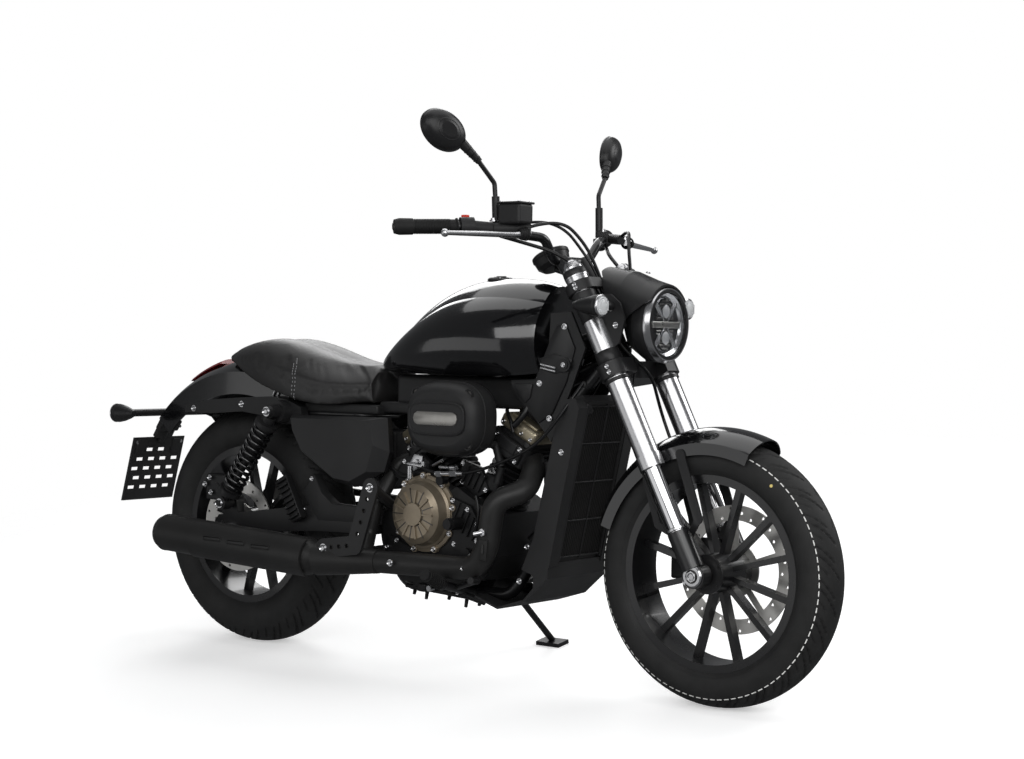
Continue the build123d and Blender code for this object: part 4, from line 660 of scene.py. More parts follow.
for frame_number in range(1, 21):
    bpy.context.scene.frame_set(frame_number)
puffed = saddle.evaluated_get(bpy.context.evaluated_depsgraph_get())
saddle.data = bpy.data.meshes.new_from_object(puffed)
saddle.modifiers.clear()
for v, home in zip(saddle.data.vertices, start):
    move = v.co - home
    if move.length > PUFF:
        v.co = home + move.normalized() * PUFF
finer = saddle.modifiers.new("finer", "SUBSURF")
finer.levels = 1
finer.render_levels = 1
saddle.data.shade_smooth()
saddle.data.materials.clear()
saddle.data.materials.append(leather)
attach(saddle, "chassis")
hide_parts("saddle")
print("saddle cover with", len(saddle.data.vertices), "points")

# %% [markdown]
# A raised hoop seam divides the rear hump from the seat. Two rows of grey thread follow it over the top
# and down both sides. The rows are traced on the finished cover, so each stitch lies on the leather.

# %% Saddle seams and stitches
from mathutils.bvhtree import BVHTree

bm = bmesh.new()
bm.from_object(saddle, bpy.context.evaluated_depsgraph_get())
bm.transform(UPRIGHT)
bm.normal_update()
cover_tree = BVHTree.FromBMesh(bm)


def hoop(x_top, x_side, z_side, centre_z=690.0):
    """Points and normals round the cover, from its right skirt over the top to its left skirt."""
    found = []
    for k in range(161):
        turn = radians(-24 + 228 * k / 160)
        lean = abs(cos(turn)) ** 1.5
        x = x_top + (x_side - x_top) * lean
        start = Vector((x, 0, centre_z + (z_side - centre_z) * lean))
        hit, normal, _, _ = cover_tree.ray_cast(start, Vector((0, -cos(turn), sin(turn))))
        if hit:
            found.append((hit, normal))
    return found


def stitches(bm, row, pitch=7.0, length=4.4):
    """Short rods of thread along a traced row."""
    travelled = 0.0
    for (a, na), (b, _) in zip(row[:-1], row[1:]):
        step = (b - a).length
        travelled += step
        if travelled >= pitch and 0 < step < 30:
            travelled = 0.0
            way = (b - a).normalized()
            rod(bm, a + na * 0.3 - way * length / 2, a + na * 0.3 + way * length / 2, 0.75, sides=6)


thread = bmesh.new()
welt = bmesh.new()
for x_top, x_side, z_side in ((-598, -560, 700), (-570, -470, 690)):
    for apart in (-4.5, 4.5):
        stitches(thread, hoop(x_top + apart, x_side + apart, z_side))
    row = hoop(x_top, x_side, z_side)
    for (a, na), (b, nb) in zip(row[:-1], row[1:]):
        if (b - a).length < 30:
            rod(welt, a - na * 0.2, b - nb * 0.2, 1.3, sides=8)
bm.free()
piece("saddle_stitches", thread, "chassis", grey_thread)
piece("saddle_welt", welt, "chassis", leather)

# %% [markdown]
# ## Engine dress
# The V-twin shows its character in small castings: a toned rocker cover on each head, a dark side plate
# with bright screws, cover bolts round the clutch, and ribs on the case.

# %% Engine frame of reference
CRANK = Vector((60.0, 0, 330.0))
CYLINDERS = (radians(28), radians(-32))
HEAD_Y = -18.0
CLUTCH = Vector((-36.0, -128.3, 388.0))


def engine_point(angle, along, aside=0.0, y=0.0):
    """Point in a cylinder's own directions: along its axis from the crank, and aside of it."""
    return CRANK + Vector((sin(angle) * along + cos(angle) * aside, y,
                           cos(angle) * along - sin(angle) * aside))


def engine_turn(angle):
    """Rotation that stands a brick along a cylinder."""
    return Matrix.Rotation(angle, 4, "Y")


cover = bmesh.new()
plate_bm = bmesh.new()
screws = bmesh.new()
dark = bmesh.new()
for angle in CYLINDERS:
    turn = engine_turn(angle)
    brick(cover, engine_point(angle, 304, 0, HEAD_Y), (112, 140, 34), turn, 9)
    brick(cover, engine_point(angle, 322, 0, HEAD_Y), (84, 112, 8), turn, 3)
    for side in (-1, 1):
        face = HEAD_Y + side * 75
        brick(plate_bm, engine_point(angle, 254, 0, face + side * 4), (92, 10, 46), turn, 4)
        brick(plate_bm, engine_point(angle, 262, 0, face + side * 9), (58, 6, 28), turn, 2.5)
        for aside in (-38, 38):
            for along in (238, 270):
                at = engine_point(angle, along, aside, face + side * 8)
                socket_bolt(screws, at, (0, side, 0), 4.2, 4)
        for aside in (-44, -15, 15, 44):
            at = engine_point(angle, 300, aside, face + side * -5)
            socket_bolt(screws, at, (0, side, 0), 3.6, 3)
        for k in range(4):
            brick(dark, engine_point(angle, 232 + 12 * k, 64, HEAD_Y + side * 34), (5, 62, 3.4), turn, 1)
piece("rocker_covers", cover, "chassis", brass_cover)
piece("head_side_plates", plate_bm, "chassis", satin_black)
piece("head_screws", screws, "chassis", bright_steel)
piece("head_fins", dark, "chassis", cast_black)

# %% [markdown]
# The clutch side of the case carries the most fasteners. The bolts sit evenly round the round cover on
# their own small lugs, and a black boss, an oil window and a ribbed plate lie ahead of it.

# %% Clutch side
lugs = bmesh.new()
screws = bmesh.new()
CLUTCH_BOLTS = 9
for k in range(CLUTCH_BOLTS):
    turn = radians(360 * k / CLUTCH_BOLTS + 12)
    at = CLUTCH + Vector((90 * cos(turn), 0, 90 * sin(turn)))
    rod(lugs, at + Vector((0, 8, 0)), at - Vector((0, 11, 0)), 8.5)
    socket_bolt(screws, at - Vector((0, 11, 0)), (0, -1, 0), 4.6, 5)
turned(lugs, [(78, 0), (92, 0), (92, 6), (84, 8), (78, 8)], CLUTCH, (0, -1, 0), 72)
piece("clutch_bolt_lugs", lugs, "chassis", bronze)
grooves = bmesh.new()
for k in range(9):
    turn = Matrix.Rotation(radians(40 * k + 20), 4, "Y")
    at = CLUTCH + turn @ Vector((46, 0, 0)) + Vector((0, -48.2, 0))
    brick(grooves, at, (34, 1.2, 2.2), turn)
turned(grooves, [(27.5, 47.5), (28.6, 49.3), (29.7, 47.5)], CLUTCH, (0, -1, 0), 64)
piece("clutch_grooves", grooves, "chassis", dark_steel)

case = bmesh.new()
RIBBED = [(42, 432), (104, 414), (134, 372), (132, 330), (96, 300), (52, 312), (44, 380)]
plank(case, RIBBED, -136, -128.2, 3)
for k in range(5):
    brick(case, (62 + 15 * k, -138, 392 - 9 * k), (4, 6, 62 - 4 * k), Matrix.Rotation(0.42, 4, "Y"), 1.2)
rod(case, (72, -128, 372), (72, -176, 372), 15)
rod(case, (72, -176, 372), (72, -184, 372), 12)
rod(case, (20, -128, 470), (20, -150, 470), 11)
rod(case, (96, -128, 300), (96, -146, 300), 16)
plank(case, [(-150, 330), (-60, 296), (40, 262), (110, 262), (100, 236), (-60, 236), (-150, 290)],
      -134, -128.2, 2.5)
piece("case_castings", case, "chassis", cast_black)
bolt_row(screws, ((52, 424), (96, 406), (124, 372), (124, 334), (92, 308), (56, 322), (-120, 318),
          (-40, 250), (60, 248), (100, 250), (-150, 300)), -136, -1, 4.2, 5)
rod(screws, (118, -150, 296), (118, -128, 296), 9)
piece("case_bolts", screws, "chassis", bright_steel)
glass = bmesh.new()
rod(glass, (20, -128, 272), (20, -138, 272), 12)
piece("oil_window", glass, "chassis", lamp_clear)

arm = bmesh.new()
rod(arm, (-70, -150, 470), (-70, -150, 500), 7)
brick(arm, (-52, -150, 503), (52, 12, 6), Matrix.Rotation(0.1, 4, "Y"), 2)
rod(arm, (-30, -150, 496), (-30, -150, 512), 5)
rod(arm, (30, -160, 503), (62, -164, 504), 4.5)
rod(arm, (66, -164, 504), (84, -166, 505), 6.5)
piece("clutch_arm", arm, "chassis", bright_steel)

# %% [markdown]
# ## Air cleaner face
# The moulded oval has a rim line, four sunk screw wells and a raised frame that holds a bare brushed
# plate.

# %% Air cleaner dress
AIR_C = Vector((67.0, 0, 619.0))
AIR_FACE = -222.0
bm = bmesh.new()
BADGE = Vector((64.0, AIR_FACE, 620.0))


def oval_ring(bm, centre, length, height, thick, square=2.7, count=72):
    """Thin bead along a superellipse square to Y."""
    ring = []
    for k in range(count):
        c, s = cos(2 * pi * k / count), sin(2 * pi * k / count)
        ring.append(centre + Vector(((abs(c) ** (2 / square)) * length / 2 * (1 if c > 0 else -1), 0,
                                     (abs(s) ** (2 / square)) * height / 2 * (1 if s > 0 else -1))))
    for a, b in zip(ring, ring[1:] + ring[:1]):
        rod(bm, a, b, thick, sides=8)


oval_ring(bm, AIR_C + Vector((0, -176, 0)), 218.5, 174.5, 1.6)
oval_ring(bm, BADGE + Vector((2, 1, 0)), 162, 74, 3.2, 4.0)
piece("air_cleaner_beads", bm, "chassis", matt_plastic)
bm = bmesh.new()
plate_ring = [(BADGE.x + 50 * side + 16 * cos(turn), BADGE.z + 16 * sin(turn))
              for side, turns in ((1, (-80, -40, 0, 40, 80)), (-1, (100, 140, 180, 220, 260)))
              for turn in map(radians, turns)]
plank(bm, plate_ring, AIR_FACE + 1, AIR_FACE - 2.6, 1.2)
piece("air_cleaner_plate", bm, "chassis", badge_grey)
wells = bmesh.new()
screws = bmesh.new()
for x, z in ((-12, 678), (146, 678), (146, 561), (-12, 561)):
    turned(wells, [(9, 0), (12.5, 0), (12.5, 6), (9, 5)], (x, -198, z), (0, -1, 0), 28)
    rod(screws, (x, -196, z), (x, -201, z), 7)
piece("air_cleaner_wells", wells, "chassis", matt_plastic)
piece("air_cleaner_screws", screws, "chassis", dark_steel)
print("engine dressed")

# %% [markdown]
# ## Radiator
# The core is a wall of thin upright fins behind three cross bars, in a plastic frame with rounded corners.

# %% Radiator fins
RAD_LOW = Vector((316.0, 0, 296.0))
RAD_SLOPE = radians(12)
RAD_LONG = 380.3
rad_up = Vector((sin(RAD_SLOPE), 0, cos(RAD_SLOPE)))
rad_out = Vector((cos(RAD_SLOPE), 0, -sin(RAD_SLOPE)))
rad_turn = Matrix.Rotation(RAD_SLOPE, 4, "Y")
bm = bmesh.new()
for k in range(-11, 12):
    centre = RAD_LOW + rad_up * RAD_LONG / 2 + rad_out * 1.5 + Vector((0, k * 7.0, 0))
    brick(bm, centre, (5.0, 1.6, RAD_LONG - 26), rad_turn)
piece("radiator_fins", bm, "chassis", hot_black)
bm = bmesh.new()
for share in (0.03, 0.26, 0.50, 0.74, 0.97):
    centre = RAD_LOW + rad_up * RAD_LONG * share + rad_out * 3
    brick(bm, centre, (5.5, 170, 3.2), rad_turn, 1)
brick(bm, RAD_LOW + rad_up * RAD_LONG / 2 + rad_out * 3, (5.6, 4, RAD_LONG - 12), rad_turn, 1)
for side in (-1, 1):
    brick(bm, RAD_LOW + rad_up * RAD_LONG / 2 + rad_out * 3 + Vector((0, side * 82, 0)),
          (9, 9, RAD_LONG - 6), rad_turn, 3)
piece("radiator_bars", bm, "chassis", satin_black)
bm = bmesh.new()
for side in (-1, 1):
    for share, inset in ((0.93, 0), (0.88, 8)):
        at = RAD_LOW + rad_up * (RAD_LONG * 0.955) + rad_out * 2 + Vector((0, side * (78 - inset), 0))
        brick(bm, at, (9, 26, 14), rad_turn @ Matrix.Rotation(side * 0.75, 4, "X"), 3)
piece("radiator_corners", bm, "chassis", matt_plastic)

# %% [markdown]
# ## Headlight
# Behind the clear front lie a bright ring, a dark bowl in two halves and a pale light bar across the
# middle. The glass is a thin dome, so the bowl shows through it.

# %% Headlight inside
HEAD_C = Vector((553.0, 0, 845.0))
FRONT = Vector((1, 0, 0))
bm = bmesh.new()
turned(bm, [(0, 3), (20, 3.4), (48, 2.2), (71.5, -1.5), (71.5, -3.5), (48, 0.4), (20, 1.6), (0, 1.2)],
       HEAD_C + FRONT * 4.0, FRONT, 64)
front_glass = piece("headlight_glass_dome", bm, "steering", head_glass)
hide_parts("headlight_lens")
bm = bmesh.new()
turned(bm, [(60, -8), (71, -2), (71, -9), (60, -9.5)], HEAD_C, FRONT, 64)
turned(bm, [(79.5, 6.2), (82, 6.6), (86.6, -3), (86.6, -8), (85, -8)], HEAD_C, FRONT, 64)
piece("headlight_rings", bm, "steering", fork_alloy)
bm = bmesh.new()
for side in (-1, 1):
    for k in range(6):
        height = side * (14 + 8 * k)
        span = 2 * (max(0.0, 58.0 ** 2 - height ** 2) ** 0.5) * 0.62
        brick(bm, HEAD_C + Vector((-7, 0, height)), (3, span, 5.2), Matrix.Rotation(0.35 * side, 4, "Y"), 1)
piece("headlight_steps", bm, "steering", dark_steel)
bm = bmesh.new()
for turn in (50, 130, 230, 310):
    way = Vector((0, cos(radians(turn)), sin(radians(turn))))
    brick(bm, HEAD_C + way * 38 + FRONT * -4.5, (5, 56, 5), Matrix.Rotation(radians(turn), 4, "X"), 1.2)
    brick(bm, HEAD_C + way * 46 + FRONT * -5.5, (3, 30, 13), Matrix.Rotation(radians(turn), 4, "X"), 1)
turned(bm, [(58, -8), (61, -3), (61, -9)], HEAD_C, FRONT, 64)
piece("headlight_ridges", bm, "steering", fork_alloy)
bm = bmesh.new()
brick(bm, HEAD_C + Vector((-3.5, 0, 0)), (5, 112, 15), soft=2)
piece("headlight_bar", bm, "steering", badge_grey)
bm = bmesh.new()
for z in (30, -30):
    turned(bm, [(0, 0), (13, 0), (15, 3), (9, 5.5), (0, 6)], HEAD_C + Vector((-6, 0, z)), FRONT, 32)
piece("headlight_projectors", bm, "steering", lamp_clear)

# %% [markdown]
# ## Fork
# The upper tubes run through black sleeves between the clamps, with a slot where bright metal shows.
# Small screws pinch the clamps, and a polished ring sits above each axle lug.

# %% Fork sleeves and rings
sleeves = bmesh.new()
bright = bmesh.new()
screws = bmesh.new()
for y in (-LEG_Y, LEG_Y):
    side = 1 if y > 0 else -1
    turned(sleeves, [(27.4, 514), (28.6, 516), (28.6, 540), (27.4, 542)], on_leg(0, y), FORK_UP, 40)
    turned(sleeves, [(27.4, 618), (28.4, 620), (28.4, 638), (29.2, 642), (29.2, 686), (27.4, 688)],
           on_leg(0, y), FORK_UP, 40)
    turned(sleeves, [(27.4, 466), (30, 467), (30, 474), (27.4, 475)], on_leg(0, y), FORK_UP, 40)
    turned(sleeves, [(27.6, 729), (28.4, 731), (28.4, 744), (27.6, 746)], on_leg(0, y), FORK_UP, 40)
    turned(bright, [(20.9, 106), (25, 107), (25, 112), (20.9, 114)], on_leg(0, y), FORK_UP, 40)
    for ring_r, rise in ((24.2, 741), (20.4, 756)):
        turned(bright, [(ring_r, rise), (ring_r + 0.6, rise + 1), (ring_r, rise + 4)], on_leg(0, y),
               FORK_UP, 40)
    rod(bright, on_leg(767, y), on_leg(771, y), 9, sides=6)
    for low, high in ((484, 506), (694, 710)):
        for along in (low + 4, high - 4):
            socket_bolt(screws, on_leg(along, y + side * 34, 8), (0, side, 0), 4, 4)
piece("fork_sleeves", sleeves, "steering", satin_black)
piece("fork_bright_rings", bright, "steering", bright_steel)
piece("fork_pinch_screws", screws, "steering", bright_steel)

bm = bmesh.new()
for y in (-LEG_Y, LEG_Y):
    side = 1 if y > 0 else -1
    at = FRONT_AXLE + Vector((0, y + side * 13, 0))
    turned(bm, [(15.2, 0), (24, 0), (24, 3), (21, 6), (15.2, 6)], at, (0, side, 0), 40)
    rod(bm, at + Vector((0, side * 2, 0)), at + Vector((0, side * 8.5, 0)), 12.5, sides=6)
    turned(bm, [(6.2, 8), (8.5, 8), (8.5, 10), (6.2, 9.4)], at, (0, side, 0), 32)
    socket_bolt(bm, FRONT_AXLE + Vector((-20, y + side * 12, -14)), (0, side, 0), 4.5, 4)
piece("front_axle_nuts", bm, "steering", bright_steel)

# %% [markdown]
# ## Handlebar fittings
# The grips are ribbed, the switch boxes carry a red stop switch and small keys, the brake reservoir has
# a lid with screws, and the mirrors have glass on the rider's side and a pressed disc on their backs.

# %% Grips, switches and mirrors
BAR_END = Vector((92, -396, 1054))
BAR_KNEE = Vector((190, -274, 1059))
bar_way = (BAR_KNEE - BAR_END).normalized()
bm = bmesh.new()
for k in range(26):
    at = BAR_END + bar_way * (26 + 3.6 * k)
    turned(bm, [(15.6, -1.2), (17.2, -0.6), (17.2, 0.6), (15.6, 1.2)], at, bar_way, 24)
both(bm)
piece("grip_ribs", bm, "steering", grip_rubber)
bm = bmesh.new()
for reach, radius in ((-11, 12.5), (-13, 9)):
    turned(bm, [(radius - 1.4, 0), (radius, 1), (radius, 3), (radius - 1.4, 4)], BAR_END + bar_way * reach,
           bar_way, 28)
both(bm)
piece("bar_end_rings", bm, "steering", dark_steel)

keys = bmesh.new()
red = bmesh.new()
house = BAR_KNEE
brick(red, house + Vector((-8, 4, 22)), (16, 12, 9), soft=2)
brick(keys, house + Vector((-20, -6, 8)), (8, 14, 8), soft=2)
brick(keys, house + Vector((-18, 12, -6)), (8, 10, 9), soft=2)
piece("stop_switch", red, "steering", kill_red)
left_house = Vector((house.x, -house.y, house.z))
brick(keys, left_house + Vector((-20, 4, 8)), (9, 16, 9), soft=2)
brick(keys, left_house + Vector((-20, -12, -4)), (9, 10, 8), soft=2)
rod(keys, left_house + Vector((-18, 16, -10)), left_house + Vector((-26, 16, -12)), 6)
piece("switch_keys", keys, "steering", grip_rubber)
bm = bmesh.new()
brick(bm, (275, -205, 1113.5), (66, 58, 5), soft=2)
piece("reservoir_lid", bm, "steering", satin_black)
screws = bmesh.new()
for x in (250, 300):
    for y in (-226, -184):
        socket_bolt(screws, (x, y, 1116), (0, 0, 1), 2.8, 2)
for side in (-1, 1):
    socket_bolt(screws, (222, side * 217, 1074), (0, 0, 1), 7, 6)
    socket_bolt(screws, (303, side * 196, 1052), (0, 0, 1), 5, 5)
piece("control_screws", screws, "steering", bright_steel)
bm = bmesh.new()
turned(bm, [(14, 0), (16, 3), (13, 6), (15, 9), (12, 12), (14, 15), (11, 18), (12, 21), (8, 24)],
       (304, -200, 1044), (-0.2, -0.96, -0.05), 28)
both(bm)
piece("lever_boots", bm, "steering", grip_rubber)

MIRROR_C = Vector((168.0, -330.0, 1272.0))
yaw, tilt = radians(18), radians(27)
mirror_way = Vector((cos(yaw), -sin(yaw), 0))
mirror_long = Vector((-sin(yaw), -cos(yaw), 0)) * cos(tilt) + Vector((0, 0, sin(tilt)))
mirror_short = mirror_way.cross(mirror_long)
oval_place = (Matrix.Translation(MIRROR_C)
              @ Matrix((mirror_long, mirror_short, mirror_way)).transposed().to_4x4()
              @ Matrix.Diagonal((1, 43 / 60, 1, 1)))


def oval_turned(bm, outline):
    """Outline turned about the mirror's axis and squeezed to its oval."""
    bmesh.ops.transform(bm, matrix=oval_place, verts=turned(bm, outline, (0, 0, 0), (0, 0, 1), 64))


glass = bmesh.new()
back = bmesh.new()
oval_turned(glass, [(0, -17.2), (54, -17.2), (55, -16.2), (0, -16.0)])
oval_turned(back, [(27, 17.4), (30, 18.6), (33, 17.2), (33, 15.4)])
oval_turned(back, [(59.6, -15), (61.2, -13), (61.2, -9), (59.6, -7)])
for reach in (0.15, 0.4, 0.65):
    boot_at = Vector((204, -250, 1206)).lerp(Vector((182, -287, 1246)), reach)
    turned(back, [(8, -2.5), (9.6 + reach * 4, 0), (8, 2.5)], boot_at, (-22, -37, 40), 24)
both(glass)
both(back)
mirror_glass = finish("mirror_glass", (0.78, 0.80, 0.82), (0.84, 0.85, 0.86), 0.01, 0.03, grain=30, metal=1.0)
piece("mirror_glasses", glass, "steering", mirror_glass)
piece("mirror_backs", back, "steering", satin_black)

# %% [markdown]
# ## Instrument and headlight mounts
# The round instrument has a dark face under glass, with a plain ring of ticks and a needle. The ear
# plates, visor and neck covers are screwed on with flat steel screws.

# %% Instrument and mounts
SPEEDO = Vector((228.0, 0, 998.0))
speedo_way = Vector((-0.45, 0, 0.89)).normalized()
bm = bmesh.new()
turned(bm, [(42.2, 10), (45, 10.6), (45.4, 3), (44, 1)], SPEEDO, speedo_way, 48)
piece("instrument_ring", bm, "steering", satin_black)
bm = bmesh.new()
dial_turn = facing(speedo_way, SPEEDO + speedo_way * 12.6)
for k in range(25):
    turn = radians(-30 + 240 * k / 24)
    at = dial_turn @ Vector((31 * cos(turn), 31 * sin(turn), 0))
    brick(bm, at, (5 if k % 4 == 0 else 3, 0.9, 0.6),
          facing(speedo_way) @ Matrix.Rotation(turn, 4, "Z"))
brick(bm, dial_turn @ Vector((-9, 6, 0.4)), (26, 1.2, 0.6), facing(speedo_way) @ Matrix.Rotation(2.5, 4, "Z"))
piece("instrument_dial_marks", bm, "steering", white_mark)
bm = bmesh.new()
turned(bm, [(0, 14.2), (41, 13.4), (41.8, 12.2), (0, 12.8)], SPEEDO, speedo_way, 48)
piece("instrument_glass", bm, "steering", lamp_clear)

screws = bmesh.new()
for x, z in ((484, 842), (470, 880), (442, 812)):
    for side in (-1, 1):
        socket_bolt(screws, (x, side * 104, z), (0, side, 0), 5, 4)
for along in (-0.5, 0.5):
    socket_bolt(screws, (470 + along * 60, 0, 974 - abs(along) * 10 - along * 12), (0.2, 0, 1), 4, 2)
piece("headlight_screws", screws, "steering", bright_steel)

NECK_TURN = Matrix.Translation((300, -72, 0)) @ Matrix.Rotation(radians(9), 4, "Z") @ Matrix.Translation(
    (-300, 72, 0))
panel = bmesh.new()
plank(panel, [(304, 840), (284, 800), (262, 748), (250, 716), (186, 712), (192, 684), (222, 648),
              (262, 614), (296, 636), (332, 712), (352, 788), (326, 846)], -78.2, -83.5, 4)
plank(panel, [(200, 704), (246, 704), (240, 672), (228, 660), (208, 680)], -83, -87, 2)
plank(panel, [(262, 764), (300, 776), (346, 762), (340, 736), (300, 728), (268, 738)], -83, -85.5, 2)
rod(panel, (328, -78, 750), (328, -92, 750), 16)
rod(panel, (328, -92, 750), (328, -95, 750), 11)
panel.transform(NECK_TURN)
both(panel)
piece("neck_cover_faces", panel, "chassis", satin_black)
screws = bmesh.new()
bolt_row(screws, ((324, 838), (289, 626), (262, 706)), -83, -1, 5, 4)
socket_bolt(screws, (328, -95, 750), (0, -1, 0), 4, 4)
for drop in (0, 8):
    rod(screws, (266, -86, 750 - drop), (304, -86, 742 - drop), 2.6)
screws.transform(NECK_TURN)
both(screws)
piece("neck_cover_screws", screws, "chassis", bright_steel)

# %% [markdown]
# ## Lamps
# Each indicator is a dark bullet with a ribbed clear lens in a bright rim. The tail lamp is a red lens
# let into the fender.

# %% Indicator lenses and tail lamp
FRONT_IND = Vector((496, -178, 884))
TAIL_X = -704 + 439.9 * cos(radians(140.2))
TAIL_Z = 310.5 + 439.9 * sin(radians(140.2))
REAR_IND = Vector((TAIL_X - 23, -190, TAIL_Z))
lamps = (("front", "steering", FRONT_IND, Vector((1, 0, 0))),
         ("rear", "chassis", REAR_IND, Vector((-1, 0, 0))))
for name, body, at, way in lamps:
    lens = bmesh.new()
    turned(lens, [(0, 9), (10, 8), (19, 4), (22.4, 0.4), (0, 0.4)], at, way, 40)
    for k in range(-3, 4):
        span = 2 * (max(0.0, 20.0 ** 2 - (k * 5.6) ** 2) ** 0.5)
        brick(lens, at + way * 5.2 + Vector((0, k * 5.6, 0)), (4, 2.2, span), soft=0.8)
    both(lens)
    piece(name + "_indicator_lenses", lens, body, lamp_clear)
    rim = bmesh.new()
    turned(rim, [(22.4, -0.5), (24.6, -1.5), (25, 1.5), (22.8, 3.2)], at, way, 40)
    both(rim)
    piece(name + "_indicator_rims", rim, body, bright_steel)
    ribs = bmesh.new()
    for k in range(3):
        turned(ribs, [(23.6 - k * 1.2, 0), (24.6 - k * 1.3, 1.2), (23.4 - k * 1.4, 2.4)],
               at - way * (8 + 7 * k), -way, 40)
    both(ribs)
    piece(name + "_indicator_ribs", ribs, body, satin_black)

# %% [markdown]
# ## Exhaust
# The shield stands off the muffler on rolled edges, with dark slots. The lower pipe has a cover with a
# bright-edged pocket where the drilled hanger drops in.

# %% Exhaust trim
MUFFLER_A = Vector((-284, -222, 266))
MUFFLER_B = Vector((-842, -222, 292))
muffler_way = (MUFFLER_B - MUFFLER_A).normalized()
SLOT_Y = -272.6                  # outer face of the shield
bm = bmesh.new()
for at, radius in ((2, 31), (46, 48.4), (543, 47.6)):
    turned(bm, [(radius - 2, -3), (radius, -1.5), (radius, 1.5), (radius - 2, 3)],
           MUFFLER_A + muffler_way * at, muffler_way, 56)
rod(bm, (-294, -222, 266), (-120, -201, 271), 41, 28.6, 48)
piece("muffler_bands", bm, "chassis", hot_black)
slots = bmesh.new()
rims = bmesh.new()
for k in range(3):
    at = MUFFLER_A + muffler_way * (330 - 84 * k) + Vector((0, 0, 12))
    brick(slots, (at.x, SLOT_Y, at.z), (57, 1.6, 6.4), soft=0.6)
    oval_ring(rims, Vector((at.x, SLOT_Y - 0.3, at.z)), 62, 11.5, 1.1, 6.0, 40)
piece("muffler_slots", slots, "chassis", fin_black)
piece("muffler_slot_rims", rims, "chassis", hot_black)

HANGER = (Vector((-112, 0, 450)), Vector((-160, 0, 310)), Vector((-258, 0, 296)))
rims = bmesh.new()
screws = bmesh.new()
for (a, b), count in zip(zip(HANGER[:-1], HANGER[1:]), (5, 4)):
    for k in range(1, count):
        at = a.lerp(b, k / count)
        turned(rims, [(5, 0), (6.2, 0), (6.2, 0.6), (5, 0.4)], (at.x, -246, at.z), (0, -1, 0), 24)
for at in (HANGER[0], HANGER[2]):
    socket_bolt(screws, (at.x, -246, at.z), (0, -1, 0), 8, 7)
socket_bolt(screws, (-56, -234, 276), (0, -1, 0), 6, 6)
socket_bolt(screws, (148, -214, 279), (0, -1, 0), 4.5, 5)
rod(screws, (209, -214, 366), (209, -226, 366), 9, sides=6)
rod(screws, (209, -226, 366), (196, -240, 362), 5.5)
piece("hanger_rims", rims, "chassis", hot_black)
piece("exhaust_bolts", screws, "chassis", bright_steel)
slot = bmesh.new()
plank(slot, [(196, 350), (222, 348), (218, 300), (200, 304)], -216, -221, 2)
rod(slot, (208, -221, 338), (209, -222.5, 318), 4)
piece("exhaust_bracket", slot, "chassis", hot_black)

# %% [markdown]
# ## Struts, shocks and tail
# The fender strut ends in a rounded boss round the upper shock pin. Chromed nuts hold the shocks, and
# two bright slots show where the strut stands off the fender.

# %% Tail fittings
strut = bmesh.new()
screws = bmesh.new()
bolt_row(screws, ((-840, 611), (-664, 628)), -124, -1, 6, 5)
rod(strut, (-516, -124, 613), (-516, -147, 614), 31, 27)
rod(strut, (-516, -170, 615), (-516, -184, 615), 17, 14)
socket_bolt(screws, (-516, -184, 615), (0, -1, 0), 9, 7)
socket_bolt(screws, (-686, -176, 373), (0, -1, 0), 9, 9)
for k in range(2):
    rod(screws, (-575 + 16 * k, -99, 652), (-567 + 16 * k, -100, 668), 4)
both(strut)
both(screws)
piece("strut_bosses", strut, "chassis", satin_black)
piece("tail_bolts", screws, "chassis", bright_steel)
bm = bmesh.new()
shock_top = Vector((-516, -161, 615))
shock_low = Vector((-686, -161, 373))
shock_way = (shock_low - shock_top).normalized()
for at, radius in ((44, 27), (52, 24), (236, 27), (246, 23)):
    turned(bm, [(12, -3), (radius, -2.4), (radius, 2.4), (12, 3)], shock_top + shock_way * at, shock_way, 36)
both(bm)
piece("shock_collars", bm, "chassis", satin_black)
bm = bmesh.new()
PLATE_TOP = Vector((TAIL_X - 61, 0, TAIL_Z - 71))
for y in (-80, 80):
    at = PLATE_TOP + Vector((-3 - 14 * 0.27, y, -14))
    rod(bm, at + Vector((5, 0, 0)), at - Vector((5, 0, 0)), 5)
for side in (-1, 1):
    rod(bm, (TAIL_X - 6, side * 16, TAIL_Z - 40), (TAIL_X + 2, side * 16, TAIL_Z - 40), 4)
piece("plate_bolts", bm, "chassis", bright_steel)
bm = bmesh.new()
brick(bm, (TAIL_X - 26, 0, TAIL_Z - 36), (20, 70, 34), Matrix.Rotation(0.6, 4, "Y"), 4)
brick(bm, (TAIL_X - 46, 0, TAIL_Z - 60), (16, 60, 26), Matrix.Rotation(0.6, 4, "Y"), 3)
for y in (-64, 64):
    brick(bm, PLATE_TOP + Vector((-2 - 0.27 * 26, y, -26)), (9, 30, 44), Matrix.Rotation(0.264, 4, "Y"), 2)
piece("plate_lamp_bracket", bm, "chassis", matt_plastic)

# %% [markdown]
# ## Frame fittings
# Footrest rubbers, the brake pedal and the gear lever stand below the engine, with the bolts of the
# cowl and the side covers.

